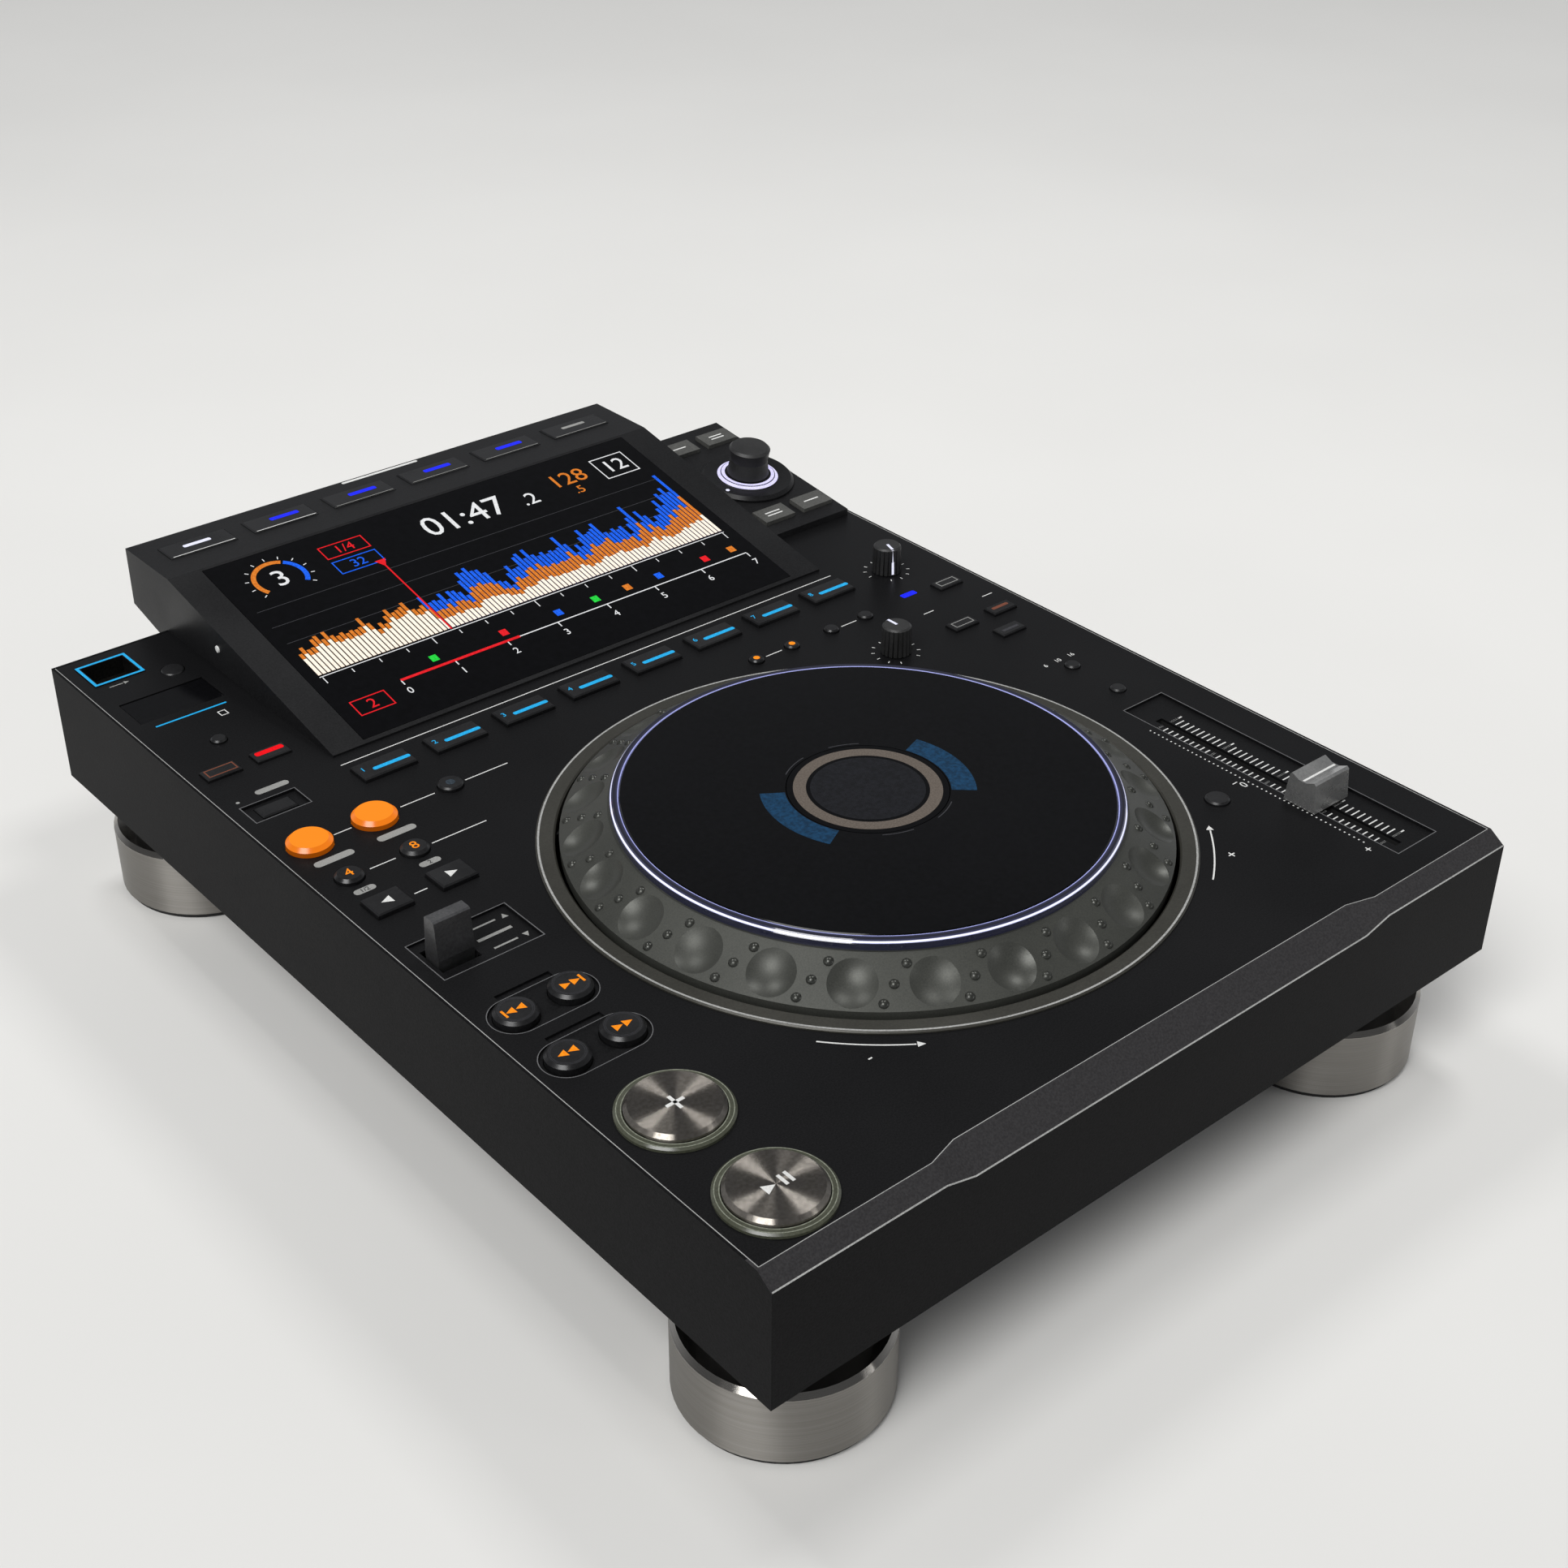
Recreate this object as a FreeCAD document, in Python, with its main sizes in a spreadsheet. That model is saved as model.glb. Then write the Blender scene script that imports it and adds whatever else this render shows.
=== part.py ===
import FreeCAD, Part
import math
import os
import re
import Sketcher

# Table-top disc-jockey media player: a flat case on four metal feet, a sloping
# screen at the back, a big free-turning jog wheel and a long tempo fader.
# X runs to the right, Y to the back, Z up; the origin is under the middle.

doc = FreeCAD.newDocument("deck_player")
sheet = doc.addObject("Spreadsheet::Sheet", "Sizes")
names = {}


def size(alias, value, note):
    """Write one driving dimension, in millimetres or degrees, on its own row."""
    row = len(names) + 1
    sheet.set("A%d" % row, note)
    sheet.set("B%d" % row, str(value))
    sheet.setAlias("B%d" % row, alias)
    names[alias] = value


# Case
size("case_half_width", 164.5, "half the width of the case")
size("case_front", -226.5, "front face of the case")
size("case_rear", 198.5, "rear face of the case, under the screen")
size("case_bottom", 44.5, "underside of the case")
size("case_top", 92.4, "face of the control panel")
size("case_wall", 2.5, "side walls of the case")
size("case_rim", 1.2, "rim of the case round the control panel")
size("tray_thickness", 1.6, "steel tray that closes the case below")
size("bevel_setback", 6.1, "depth of the front bevel near the corners")
size("bevel_drop", 4.1, "height of the front bevel near the corners")
size("mid_setback", 9.3, "depth of the front bevel in the middle")
size("mid_drop", 7.1, "height of the front bevel in the middle")
size("mid_outer", 100.4, "half width where the bevel starts to deepen")
size("mid_inner", 89.0, "half width where the bevel is at its deepest")
size("panel_thickness", 2.0, "control panel")
size("panel_gap", 0.15, "between the panel and the case rim")
size("panel_land", 0.6, "rim left between the bevel and the panel")
size("ledge", 1.5, "thickness of the ledge the panel lies on")
size("ledge_width", 1.6, "width of that ledge inside the wall")

# Screen housing
size("housing_half_width", 115.8, "half the width of the screen housing")
size("housing_front", 73.5, "front edge of the housing")
size("housing_lip", 0.8, "height of that front edge over the panel")
size("housing_crest", 191.5, "where the slope meets the flat key strip")
size("housing_top", 25.0, "key strip of the housing over the panel")
size("housing_rear", 226.5, "rear face of the housing")
size("housing_rear_low", 0.6, "lower edge of the housing's rear face over the panel")
size("housing_heel", 6.4, "foot of the housing on the case's rear face, below the panel")
size("housing_wall", 2.4, "walls of the housing")
size("display_y", 132.8, "middle of the screen")
size("display_width", 199.2, "lit width of the screen")
size("display_depth", 112.1, "lit height of the screen, along the slope")
size("glass_margin", 2.2, "glass past the lit area on each side")
size("glass_thickness", 1.1, "cover glass")
size("glass_gap", 0.2, "round the cover glass")
size("glass_seat", 0.02, "glue line under the cover glass")
size("lcd_thickness", 4.2, "screen module under the housing's skin")

# Jog wheel, heights over the control panel
size("jog_x", 0.0, "jog wheel centre, left to right")
size("jog_y", -82.7, "jog wheel centre, front to back")
size("surround_outer", 112.8, "outer radius of the fixed ring")
size("surround_inner", 106.2, "inner radius of the fixed ring")
size("surround_height", 0.9, "height of the fixed ring")
size("grip_outer", 104.7, "outer radius of the grip ring")
size("grip_top", 88.2, "radius at the top of the grip ring's cone")
size("grip_low", 2.2, "lower edge of the cone")
size("grip_high", 12.6, "upper edge of the cone")
size("dimple_count", 24, "finger dimples round the grip ring")
size("dimple_radius", 97.0, "radius the dimples lie on")
size("dimple_ball", 14.8, "ball that cuts a dimple")
size("dimple_depth", 2.5, "depth of a dimple")
size("light_outer", 87.4, "outer radius of the clear ring")
size("light_inner", 84.4, "inner radius of the clear ring")
size("light_height", 16.0, "top of the clear ring")
size("plate_radius", 84.15, "radius of the jog wheel's top plate")
size("plate_height", 16.2, "top of that plate")
size("jog_display_radius", 27.6, "round display in the middle")
size("post_radius", 15.0, "fixed post inside the jog wheel")
size("running_fit", 0.05, "radial play of a shaft in its bore")
size("side_gap", 0.3, "play between two moving parts")
size("hub_radius", 22.0, "hub of the jog wheel")

# Feet
size("foot_x", 127.0, "feet from the middle, left and right")
size("foot_front", -188.5, "front feet")
size("foot_rear", 166.0, "rear feet")
size("foot_radius", 34.4, "metal foot")
size("foot_rim", 29.3, "top of the metal foot")
size("foot_chamfer", 1.6, "chamfer round the top of a foot")
size("foot_pad", 2.0, "rubber pad under a foot")
size("neck_radius", 27.0, "neck between foot and case")

# Keys
size("key_gap", 0.25, "between a key and its opening")
size("key_stroke", 0.8, "travel of a key")
size("key_flange", 0.9, "flange that keeps a key under the panel")
size("key_foot", 5.0, "depth of a key below the panel face")
size("board_depth", 6.0, "face of the key board below the panel face")
size("board_thickness", 1.6, "circuit boards")
size("hot_cue_width", 21.4, "hot cue key")
size("hot_cue_depth", 10.8, "hot cue key, front to back")
size("hot_cue_y", 56.6, "row of hot cue keys")
size("hot_cue_pitch", 30.04, "between two hot cue keys")
size("lit_key_width", 13.4, "slip, quantize and mode keys")
size("lit_key_depth", 7.0, "slip, quantize and mode keys, front to back")
size("jump_width", 13.6, "beat jump key")
size("jump_depth", 11.2, "beat jump key, front to back")
size("menu_width", 29.0, "key above the screen")
size("menu_depth", 11.6, "key above the screen, front to back")
size("menu_y", 211.4, "row of keys above the screen")
size("menu_pitch", 36.8, "between two keys above the screen")
size("play_radius", 15.1, "cap of the play and cue buttons")
size("play_ring", 2.55, "width of the lit ring round the play and cue buttons")
size("play_x", -141.6, "play and cue buttons")
size("play_y", -201.2, "play button")
size("cue_y", -156.8, "cue button")
size("search_radius", 7.2, "track search and search buttons")
size("search_left", -151.0, "left one of each search pair")
size("search_pitch", 20.4, "between the two of a pair")
size("track_y", -91.0, "track search pair")
size("search_y", -117.6, "search pair")
size("pill_margin", 1.6, "recess round a search pair")
size("loop_radius", 8.0, "loop in and loop out buttons")
size("reloop_radius", 4.6, "reloop button")
size("beat_radius", 5.0, "four-beat and eight-beat loop buttons")
size("small_radius", 3.0, "small round buttons")

# Fader, lever, knobs, selector
size("fader_x", 133.6, "slot of the tempo fader")
size("fader_mid", -151.0, "middle of the fader's travel")
size("fader_travel", 100.0, "travel of the fader")
size("fader_rest", -169.4, "where the fader cap stands")
size("fader_slot", 3.4, "width of the fader's slot")
size("fader_stem", 2.2, "width of the fader's stem")
size("cap_width", 18.4, "fader cap")
size("cap_depth", 13.6, "fader cap, front to back")
size("cap_height", 12.0, "fader cap over the panel")
size("lever_x", -148.2, "direction lever")
size("lever_y", -51.0, "direction lever")
size("lever_width", 13.6, "direction lever")
size("lever_height", 15.5, "direction lever over the panel")
size("lever_pivot", 13.0, "axle of the lever under the panel")
size("lever_pin", 1.5, "radius of that axle")
size("lever_throw", 10.0, "swing of the lever each way")
size("knob_radius", 6.2, "vinyl speed and jog adjust knobs")
size("knob_height", 12.0, "those knobs over the panel")
size("knob_shaft", 3.0, "shaft of a knob")
size("pod_slope", 6.6, "slope of the browse pod")
size("pod_x", 139.8, "browse pod, left to right")
size("pod_y", 149.0, "browse pod, front to back")
size("pod_front", 106.0, "front edge of the pod")
size("pod_lift", 8.0, "pod face over the panel at its middle")
size("pod_half_width", 21.0, "half the width of the pod")
size("disc_radius", 20.6, "raised disc round the selector")
size("selector_radius", 9.2, "rotary selector")
size("selector_height", 16.4, "rotary selector over its disc")
size("light_collar", 13.8, "lit collar under the selector")

# Media slots
size("usb_x", -147.9, "USB well")
size("usb_y", 183.2, "USB well")
size("usb_width", 20.6, "frame of the USB well")
size("usb_depth", 18.0, "frame of the USB well, front to back")
size("usb_well", 7.0, "depth of the USB well")
size("sd_x", -140.7, "card door")
size("sd_y", 147.4, "card door")
size("sd_width", 33.4, "card door")
size("sd_depth", 17.4, "card door, front to back")
size("sd_door", 1.6, "thickness of the card door")
size("sd_pin", 0.6, "radius of the card door's pins")

word = re.compile(r"[a-z][a-z_]*[a-z0-9]")


def ex(text):
    """Turn plain size names into references to the sheet."""
    text = str(text)
    return word.sub(lambda m: "Sizes." + m.group(0) if m.group(0) in names else m.group(0), text)


def bind(thing, path, text):
    """Bind one property to an expression over the sheet."""
    thing.setExpression(path, ex(text))


def seat(thing, x="0", y="0", z="0"):
    """Bind the placement of a sub-part."""
    bind(thing, "Placement.Base.x", x)
    bind(thing, "Placement.Base.y", y)
    bind(thing, "Placement.Base.z", z)
    return thing


def tilt(thing, angle, axis=(1, 0, 0)):
    """Turn a sub-part about its own origin by a bound angle."""
    thing.Placement = FreeCAD.Placement(thing.Placement.Base, FreeCAD.Rotation(FreeCAD.Vector(*axis), 1.0))
    bind(thing, "Placement.Rotation.Angle", angle)
    return thing


def up(offset):
    """A height counted from the face of the control panel."""
    return "case_top + (%s)" % offset


def box(label, x, y, z, length, width, height):
    """A block given by its low corner and its three sizes."""
    made = doc.addObject("Part::Box", label)
    bind(made, "Length", length)
    bind(made, "Width", width)
    bind(made, "Height", height)
    return seat(made, x, y, z)


def middle_box(label, x, y, z, length, width, height):
    """A block given by the middle of its floor."""
    return box(label, "(%s) - (%s) / 2" % (x, length), "(%s) - (%s) / 2" % (y, width), z, length, width, height)


def rod(label, x, y, z, radius, height):
    """An upright cylinder given by the middle of its floor."""
    made = doc.addObject("Part::Cylinder", label)
    bind(made, "Radius", radius)
    bind(made, "Height", height)
    return seat(made, x, y, z)


def lying_rod(label, x, y, z, radius, length, axis):
    """A cylinder along X or Y, given by the middle of its low end."""
    made = rod(label, x, y, z, radius, length)
    turn = FreeCAD.Rotation(FreeCAD.Vector(0, 1, 0), 90)
    if axis == "y":
        turn = FreeCAD.Rotation(FreeCAD.Vector(1, 0, 0), -90)
    made.Placement = FreeCAD.Placement(made.Placement.Base, turn)
    return made


def join(label, parts):
    """One solid out of several."""
    made = doc.addObject("Part::MultiFuse", label)
    made.Shapes = parts
    made.Refine = True
    return made


def cut(label, base, tools):
    """One solid less several."""
    tool = tools[0]
    if len(tools) > 1:
        tool = join(label + "_tools", tools)
    made = doc.addObject("Part::Cut", label)
    made.Base = base
    made.Tool = tool
    return made


def group(label, parts):
    """Several like solids that share one node."""
    made = doc.addObject("Part::Compound", label)
    made.Links = parts
    return made


def plane_of(body, name):
    for item in body.Origin.OriginFeatures:
        if item.Role == name:
            return item
    raise RuntimeError("no plane " + name)


def sketch_on(body, label, plane, offset="0"):
    """An empty sketch on one of the body's own planes."""
    made = body.newObject("Sketcher::SketchObject", label)
    made.AttachmentSupport = [(plane_of(body, plane), "")]
    made.MapMode = "FlatFace"
    bind(made, "AttachmentOffset.Base.z", offset)
    return made


def polygon(sketch, points):
    """A closed outline with every corner bound to the sheet."""
    count = len(points)
    ring = []
    for index in range(count):
        angle = 2 * math.pi * index / count
        ring.append(FreeCAD.Vector(50 + 40 * math.cos(angle), 50 + 40 * math.sin(angle), 0))
    for index in range(count):
        sketch.addGeometry(Part.LineSegment(ring[index], ring[(index + 1) % count]), False)
    for index in range(count):
        sketch.addConstraint(Sketcher.Constraint("Coincident", index, 2, (index + 1) % count, 1))
    for index, (across, along) in enumerate(points):
        for kind, text, value in (("DistanceX", across, ring[index].x), ("DistanceY", along, ring[index].y)):
            number = sketch.addConstraint(Sketcher.Constraint(kind, -1, 1, index, 1, value))
            bind(sketch, "Constraints[%d]" % number, text)
    return sketch


def rectangle(sketch, width, depth):
    """An outline centred on the sketch's origin."""
    half = "(%s) / 2" % width
    deep = "(%s) / 2" % depth
    return polygon(sketch, [("-" + half, "-" + deep), (half, "-" + deep), (half, deep), ("-" + half, deep)])


def new_body(label):
    return doc.addObject("PartDesign::Body", label)


def pad(body, sketch, length, taper=None):
    made = body.newObject("PartDesign::Pad", sketch.Label + "_pad")
    made.Profile = sketch
    bind(made, "Length", length)
    if taper:
        made.TaperAngle = taper
    sketch.Visibility = False
    return made


def turned(label, points, x="0", y="0", z="0"):
    """A body turned about its own Z axis from an outline of (radius, height)."""
    body = new_body(label)
    profile = polygon(sketch_on(body, label + "_profile", "XZ_Plane"), points)
    made = body.newObject("PartDesign::Revolution", label + "_turn")
    made.Profile = profile
    made.ReferenceAxis = (plane_of(body, "Z_Axis"), [""])
    made.Angle = 360.0
    seat(body, x, y, z)
    return body


def key(label, x, y, width, depth, rise, z="case_top"):
    """A square-cornered key cap with a bevelled face and a flange under the panel."""
    body = new_body(label)
    parts = (
        ("flange", "(%s) + 2 * key_flange" % width, "(%s) + 2 * key_flange" % depth,
         "-panel_thickness - 1.5", "1.2", None),
        ("stem", "(%s) - 1.2" % width, "(%s) - 1.2" % depth, "-key_foot", "key_foot - panel_thickness - 1.5", None),
        ("cap", width, depth, "-panel_thickness - 0.31", "panel_thickness + 0.31 + (%s) - 0.5" % rise, None),
        ("face", width, depth, "(%s) - 0.5" % rise, "0.5", -45.0),
    )
    for part, wide, deep, low, tall, taper in parts:
        sketch = rectangle(sketch_on(body, label + "_" + part, "XY_Plane", low), wide, deep)
        pad(body, sketch, tall, taper)
    return seat(body, x, y, z)


def button(label, x, y, radius, rise, crown="0.6"):
    """A round button cap with a wider skirt under the panel."""
    points = [
        ("0", "-key_foot"),
        ("(%s) + key_flange" % radius, "-key_foot"),
        ("(%s) + key_flange" % radius, "-panel_thickness - 0.3"),
        (radius, "-panel_thickness - 0.3"),
        (radius, "(%s) - (%s)" % (rise, crown)),
        ("(%s) - (%s)" % (radius, crown), rise),
        ("0", rise),
    ]
    return turned(label, points, x, y, "case_top")


# Openings of the control panel, gathered while its keys are placed
holes = []


def key_hole(x, y, width, depth):
    holes.append(middle_box("hole", x, y, up("-panel_thickness - 1"), "(%s) + 2 * key_gap" % width,
                            "(%s) + 2 * key_gap" % depth, "panel_thickness + 2"))


def round_hole(x, y, radius):
    holes.append(rod("hole", x, y, up("-panel_thickness - 1"), "(%s) + key_gap" % radius, "panel_thickness + 2"))


nodes = []


def node(made, label):
    made.Label = label
    nodes.append(made)
    return made


# Keys and buttons of the control panel
def place_key(label, x, y, width, depth, rise="1.3"):
    key_hole(x, y, width, depth)
    return key(label, x, y, width, depth, rise)


def place_button(label, x, y, radius, rise="1.2", crown="0.6"):
    round_hole(x, y, radius)
    return button(label, x, y, radius, rise, crown)


for number in range(8):
    across = "hot_cue_pitch * (%d - 3.5)" % number
    label = "hot_cue_key_%d" % (number + 1)
    node(place_key(label, across, "hot_cue_y", "hot_cue_width", "hot_cue_depth", "1.6"), label)

node(place_key("slip_key", "-151.5", "90", "lit_key_width", "lit_key_depth"), "slip_key")
node(place_key("quantize_key", "-131.8", "90", "lit_key_width", "lit_key_depth"), "quantize_key")
node(place_key("beat_jump_back_key", "-149.6", "-16.6", "jump_width", "jump_depth", "1.8"), "beat_jump_back_key")
node(place_key("beat_jump_forward_key", "-124.8", "-16.6", "jump_width", "jump_depth", "1.8"),
     "beat_jump_forward_key")
node(place_button("loop_in_button", "-151", "30", "loop_radius", "3.0", "1.4"), "loop_in_button")
node(place_button("loop_out_button", "-125.6", "30", "loop_radius", "3.0", "1.4"), "loop_out_button")
node(place_button("reloop_button", "-94", "31", "reloop_radius", "1.6"), "reloop_button")
node(place_button("four_beat_button", "-151", "4.6", "beat_radius", "2.0", "1.0"), "four_beat_button")
node(place_button("eight_beat_button", "-125.6", "4.6", "beat_radius", "2.0", "1.0"), "eight_beat_button")
node(place_button("usb_stop_button", "-129.4", "168.3", "4.4", "0.4", "0.4"), "usb_stop_button")
node(place_button("time_mode_button", "-141.2", "110.5", "small_radius"), "time_mode_button")
node(place_button("cue_button", "play_x", "cue_y", "play_radius", "3.6", "1.2"), "cue_button")
node(place_button("play_button", "play_x", "play_y", "play_radius", "3.6", "1.2"), "play_button")

right_search = "search_left + search_pitch"
node(place_button("track_back_button", "search_left", "track_y", "search_radius", "2.4", "1.0"),
     "track_back_button")
node(place_button("track_forward_button", right_search, "track_y", "search_radius", "2.4", "1.0"),
     "track_forward_button")
node(place_button("search_back_button", "search_left", "search_y", "search_radius", "2.4", "1.0"),
     "search_back_button")
node(place_button("search_forward_button", right_search, "search_y", "search_radius", "2.4", "1.0"),
     "search_forward_button")

memory = []
for across in ("46.6", "64.6", "85.2", "103.4"):
    memory.append(place_button("memory_button", across, "31.4", "small_radius", "1.4"))
node(group("memory_buttons", memory), "memory_buttons")

function_keys = []
for across, along in (("148.2", "31"), ("128.2", "1.4"), ("149.6", "1.4"), ("139.6", "-13.6")):
    function_keys.append(place_key("function_key", across, along, "12.4", "6.4"))
function_keys.append(place_key("function_key", "-147.4", "59", "lit_key_width", "lit_key_depth", "-0.4"))
for across, along, radius in (("137.6", "-49.5", "small_radius"), ("137.6", "-73", "small_radius"),
                              ("106.2", "-148.1", "4.4")):
    function_keys.append(place_button("function_button", across, along, radius))
node(group("function_keys", function_keys), "function_keys")

# Lit rings round the play and cue buttons
rings = []
for along in ("play_y", "cue_y"):
    inner = "play_radius + key_gap"
    outer = inner + " + play_ring"
    rings.append(turned("button_ring", [(inner, "0"), (outer, "0"), (outer, "0.9"), (outer + " - 0.7", "1.5"),
                                        (inner, "1.5")], "play_x", along, "case_top"))
node(group("button_rings", rings), "button_rings")

# Knobs: fluted caps on short shafts
def knob(label, x, y):
    body = turned(label, [("0", "-5.6"), ("knob_shaft", "-5.6"), ("knob_shaft", "0.4"),
                          ("knob_radius", "0.4"), ("knob_radius - 0.5", "knob_height - 0.7"),
                          ("knob_radius - 1.2", "knob_height"), ("0", "knob_height")], x, y, "case_top")
    flute = polygon(sketch_on(body, label + "_flute", "XY_Plane", "0"), [
        ("knob_radius - 0.75", "0"), ("knob_radius + 1", "-0.9"), ("knob_radius + 1", "0.9")])
    groove = body.newObject("PartDesign::Pocket", label + "_groove")
    groove.Profile = flute
    groove.Reversed = True
    bind(groove, "Length", "knob_height + 1")
    pattern = body.newObject("PartDesign::PolarPattern", label + "_flutes")
    pattern.Originals = [groove]
    pattern.Axis = (plane_of(body, "Z_Axis"), [""])
    pattern.Angle = 360.0
    pattern.Occurrences = 20
    body.Tip = pattern
    round_hole(x, y, "knob_shaft - key_gap + running_fit")
    return node(body, label)


knob("vinyl_speed_knob", "137.6", "56")
knob("jog_adjust_knob", "93", "2.4")

# Jog wheel: fixed ring, bearing and display, and the turning parts
ring_z = "case_top"
node(turned("jog_surround", [
    ("surround_inner", "-4"), ("surround_inner + 0.8", "-4"), ("surround_inner + 0.8", "0"),
    ("surround_outer", "0"), ("surround_outer", "surround_height - 0.4"),
    ("surround_outer - 0.5", "surround_height"), ("surround_inner + 0.6", "surround_height"),
    ("surround_inner", "surround_height - 0.5")], "jog_x", "jog_y", ring_z), "jog_surround")

cone_fall = "(grip_high - grip_low) / (grip_outer - grip_top)"
grip = turned("jog_grip_ring", [
    ("plate_radius - 4", "grip_high - 2.6"), ("plate_radius - 4", "grip_high"), ("grip_top", "grip_high"),
    ("grip_outer", "grip_low"), ("grip_outer", "-1.5"), ("grip_outer - 2.4", "-1.5"),
    ("grip_outer - 2.4", "grip_low - 3.2"), ("plate_radius + 0.7", "grip_high - 2.6")],
    "jog_x", "jog_y", ring_z)
doc.recompute()
ball_sketch = sketch_on(grip, "dimple_profile", "XZ_Plane")
slant = "sqrt((grip_high - grip_low) ^ 2 + (grip_outer - grip_top) ^ 2)"
lift = "(dimple_ball - dimple_depth)"
ball_r = "dimple_radius + %s * (grip_high - grip_low) / %s" % (lift, slant)
face_z = "grip_high - (dimple_radius - grip_top) * %s" % cone_fall
ball_z = "%s + %s * (grip_outer - grip_top) / %s" % (face_z, lift, slant)
low_z = "%s - dimple_ball" % ball_z
high_z = "%s + dimple_ball" % ball_z
first = ball_sketch.addGeometry(Part.ArcOfCircle(
    Part.Circle(FreeCAD.Vector(103, 17, 0), FreeCAD.Vector(0, 0, 1), 14.8), -math.pi / 2, math.pi / 2), False)
chord = ball_sketch.addGeometry(Part.LineSegment(FreeCAD.Vector(103, 31.8, 0), FreeCAD.Vector(103, 2.2, 0)), False)
ball_sketch.addConstraint(Sketcher.Constraint("Coincident", first, 2, chord, 1))
ball_sketch.addConstraint(Sketcher.Constraint("Coincident", chord, 2, first, 1))
ball_sketch.addConstraint(Sketcher.Constraint("Vertical", chord))
ball_sketch.addConstraint(Sketcher.Constraint("PointOnObject", first, 3, chord))
for kind, text, value in (("DistanceX", ball_r, 103.0), ("DistanceY", ball_z, 17.0)):
    number = ball_sketch.addConstraint(Sketcher.Constraint(kind, -1, 1, first, 3, value))
    bind(ball_sketch, "Constraints[%d]" % number, text)
number = ball_sketch.addConstraint(Sketcher.Constraint("Radius", first, 14.8))
bind(ball_sketch, "Constraints[%d]" % number, "dimple_ball")
dimple = grip.newObject("PartDesign::Groove", "dimple")
dimple.Profile = ball_sketch
dimple.ReferenceAxis = (ball_sketch, ["Edge2"])
dimple.Angle = 360.0
dimples = grip.newObject("PartDesign::PolarPattern", "dimples")
dimples.Originals = [dimple]
dimples.Axis = (plane_of(grip, "Z_Axis"), [""])
dimples.Angle = 360.0
bind(dimples, "Occurrences", "dimple_count")
grip.Tip = dimples
node(grip, "jog_grip_ring")

node(turned("jog_light_ring", [
    ("light_inner", "grip_high"), ("light_outer", "grip_high"), ("light_outer", "light_height - 1.2"),
    ("light_outer - 1", "light_height"), ("light_inner", "light_height")], "jog_x", "jog_y", ring_z),
    "jog_light_ring")
node(turned("jog_plate", [
    ("jog_display_radius + side_gap", "grip_high"), ("plate_radius", "grip_high"),
    ("plate_radius", "plate_height - 0.4"), ("plate_radius - 0.4", "plate_height"),
    ("jog_display_radius + side_gap", "plate_height")], "jog_x", "jog_y", ring_z), "jog_plate")
bore = "post_radius + running_fit"
node(turned("jog_carrier", [
    (bore, "-16"), ("hub_radius", "-16"), ("hub_radius", "-12"), ("40", "-12"), ("40", "-10.8"),
    ("hub_radius", "-10.8"), ("hub_radius", "grip_high - 5.2"), ("plate_radius", "grip_high - 5.2"),
    ("plate_radius", "grip_high - 2.6"), ("plate_radius - 4.2", "grip_high - 2.6"),
    ("plate_radius - 4.2", "grip_high"), ("jog_display_radius + 4", "grip_high"),
    ("jog_display_radius + 4", "grip_high - 2.6"), (bore, "grip_high - 2.6")],
    "jog_x", "jog_y", ring_z), "jog_carrier")
node(turned("jog_display", [
    ("0", "grip_high - 2.0"), ("jog_display_radius", "grip_high - 2.0"),
    ("jog_display_radius", "plate_height"), ("0", "plate_height")], "jog_x", "jog_y", ring_z), "jog_display")

post = turned("bearing_post", [
    ("post_radius - 3", "-20"), ("60", "-20"), ("60", "-16.3"), ("post_radius", "-16.3"),
    ("post_radius", "grip_high - 2.0"), ("post_radius - 3", "grip_high - 2.0")], "jog_x", "jog_y", ring_z)
stands = [post]
for number in range(3):
    turn = 90 + 120 * number
    stands.append(rod("stand", "jog_x + 52 * cos(%d deg)" % turn, "jog_y + 52 * sin(%d deg)" % turn,
                      "case_bottom + tray_thickness", "5", "case_top - 20 - case_bottom - tray_thickness"))
node(join("jog_bearing", stands), "jog_bearing")

# Tempo fader and its cap
node(cut("fader_unit",
         middle_box("fader_case", "fader_x", "fader_mid", up("-panel_thickness - 10"), "13",
                    "fader_travel + 18", "10"),
         [middle_box("fader_channel", "fader_x", "fader_mid", up("-panel_thickness - 8.6"), "fader_slot",
                     "fader_travel + 8", "10")]), "fader_unit")
cap_body = new_body("tempo_fader_cap")
cap_side = polygon(sketch_on(cap_body, "cap_side", "YZ_Plane", "-cap_width / 2"), [
    ("-cap_depth / 2", "0.3"), ("cap_depth / 2", "0.3"), ("cap_depth / 2 - 1.2", "cap_height - 0.8"),
    ("cap_depth / 2 - 2.0", "cap_height"), ("1.6", "cap_height - 1.5"), ("-1.6", "cap_height - 1.5"),
    ("-cap_depth / 2 + 2.0", "cap_height"), ("-cap_depth / 2 + 1.2", "cap_height - 0.8")])
pad(cap_body, cap_side, "cap_width")
stem_sketch = rectangle(sketch_on(cap_body, "cap_stem", "XY_Plane", "-panel_thickness - 7.6"), "fader_stem", "6")
pad(cap_body, stem_sketch, "panel_thickness + 8.2")
seat(cap_body, "fader_x", "fader_rest", "case_top")
node(cap_body, "tempo_fader_cap")
holes.append(middle_box("fader_recess", "fader_x + 4.2", "fader_mid + 3.7", up("-1"), "20.6",
                        "fader_travel + 23.6", "3"))
holes.append(middle_box("fader_gap", "fader_x", "fader_mid", up("-panel_thickness - 1"), "fader_slot",
                        "fader_travel + 8", "panel_thickness + 2"))

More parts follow.
